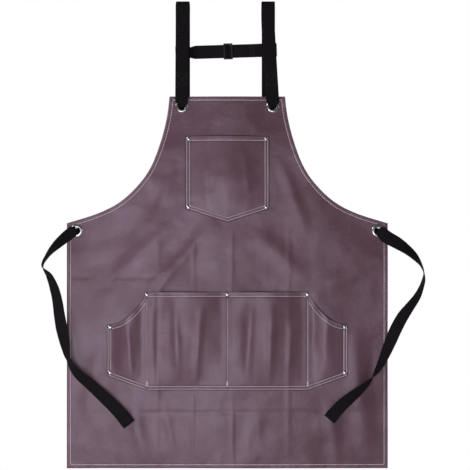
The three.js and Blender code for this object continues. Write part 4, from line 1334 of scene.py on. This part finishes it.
def rounded_block(low, high, radius, steps=3):
    """A box with round edges, as a closed grid of points."""
    low, high = np.array(low, float), np.array(high, float)
    size, centre = (high - low) / 2, (high + low) / 2
    radius = min(radius, *(size * 0.98))
    inner = size - radius
    ticks = []
    for k in range(3):
        round_part = np.linspace(0, 1, steps + 1)
        ticks.append(np.concatenate([-1 - inner[k] / radius + round_part,
                                     1 + inner[k] / radius - round_part[::-1]]))
    index, points, faces = {}, [], []

    def vertex(i, j, k):
        key = (i, j, k)
        if key not in index:
            raw = np.array([ticks[a][n] * radius for a, n in enumerate(key)])
            core = np.clip(raw, -inner, inner)
            away = raw - core
            length = np.linalg.norm(away)
            index[key] = len(points)
            points.append(centre + core + (away / length * radius if length > 1e-9 else 0))
        return index[key]

    n = 2 * (steps + 1)
    for axis in range(3):
        u, v = (axis + 1) % 3, (axis + 2) % 3
        for end in (0, n - 1):
            for i in range(n - 1):
                for j in range(n - 1):
                    corners = []
                    for a, b in ((i, j), (i + 1, j), (i + 1, j + 1), (i, j + 1)):
                        key = [0, 0, 0]
                        key[axis], key[u], key[v] = end, a, b
                        corners.append(vertex(*key))
                    faces.append(corners if end else corners[::-1])
    return points, faces


def build_slider():
    """Three bars and two rims round the webbing, moulded in one."""
    half, rim, bar = 8.5, 2, 3
    window_z = WEBBING_WIDTH / 2 + 0.3
    window_y = (FOLD_RADIUS - 2, FOLD_RADIUS + 2)
    front, back, reach = window_y[0] - 1.4, window_y[1] + 1.4, window_z + 1.2
    boxes = []
    for end in (-1, 1):
        z = sorted((end * window_z, end * (window_z + rim)))
        boxes.append(rounded_block((-half, front, z[0]), (half, back, z[1]), 0.7))
    for x in (-half, half - bar):
        boxes.append(rounded_block((x, front, -reach), (x + bar, window_y[0], reach), 0.6))
    boxes.append(rounded_block((-bar / 2, window_y[1], -reach), (bar / 2, back, reach), 0.6))
    points, faces = join_parts(boxes)
    points = np.asarray(points) + (1.5, 0, 0)
    slider = make_piece("link_slider_moulding", in_place(points), faces, SLIDER_PLASTIC, "slider")
    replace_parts(slider, "link_slider")


build_slider()

# ---- Floor and light -------------------------------------------------------

FLOOR_Z = -1.05
FLOOR_HALF = 1.3


def build_floor():
    mesh = bpy.data.meshes.new("floor")
    corners = [(x * FLOOR_HALF, y * FLOOR_HALF, FLOOR_Z) for x, y in ((-1, -1), (1, -1), (1, 1), (-1, 1))]
    mesh.from_pydata(corners, [], [[0, 1, 2, 3]])
    floor = add_object("floor", mesh)
    g = Graph("floor")
    pale = g.mix(g.noise(3, 2), linear(236, 236, 236), linear(240, 240, 240))
    floor.data.materials.append(g.set(Base_Color=pale, Roughness=0.8))
    floor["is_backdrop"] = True


build_floor()


def area_light(name, place, target, size, power):
    data = bpy.data.lights.new(name, "AREA")
    data.shape = "RECTANGLE"
    data.size, data.size_y = size
    data.energy = power
    light = add_object(name, data)
    light.location = place
    light.visible_camera = False
    light.rotation_euler = (Vector(target) - Vector(place)).to_track_quat("-Z", "Y").to_euler()


area_light("key_light", (-2.0, -1.7, 0.9), (0, 0, -0.45), (1.0, 1.0), 42)
area_light("side_fill", (2.2, -1.6, -0.1), (0, 0, -0.5), (1.0, 1.0), 9)
area_light("low_front", (-0.25, -1.7, -0.74), (-0.07, 0, -0.62), (0.8, 0.7), 11)
area_light("back_fill", (0.6, 2.6, 0.6), (0, 0, -0.5), (1.6, 1.2), 40)

world = bpy.data.worlds.new("studio")
bpy.context.scene.world = world
world.use_nodes = True
tree = world.node_tree
# White where the camera looks past the apron, dim as a light on it
background, seen = tree.nodes["Background"], tree.nodes.new("ShaderNodeBackground")
for node, strength in ((background, 0.18), (seen, 1.0)):
    node.inputs["Color"].default_value = (1, 1, 1, 1)
    node.inputs["Strength"].default_value = strength
rays = tree.nodes.new("ShaderNodeLightPath")
mixer = tree.nodes.new("ShaderNodeMixShader")
tree.links.new(rays.outputs["Is Camera Ray"], mixer.inputs[0])
tree.links.new(background.outputs[0], mixer.inputs[1])
tree.links.new(seen.outputs[0], mixer.inputs[2])
tree.links.new(mixer.outputs[0], tree.nodes["World Output"].inputs["Surface"])
bpy.context.scene.view_settings.view_transform = "Standard"
bpy.context.scene.view_settings.look = "None"

visual_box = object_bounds()
{"cad": [list(corner) for corner in cad_box], "visual": [list(corner) for corner in visual_box]}
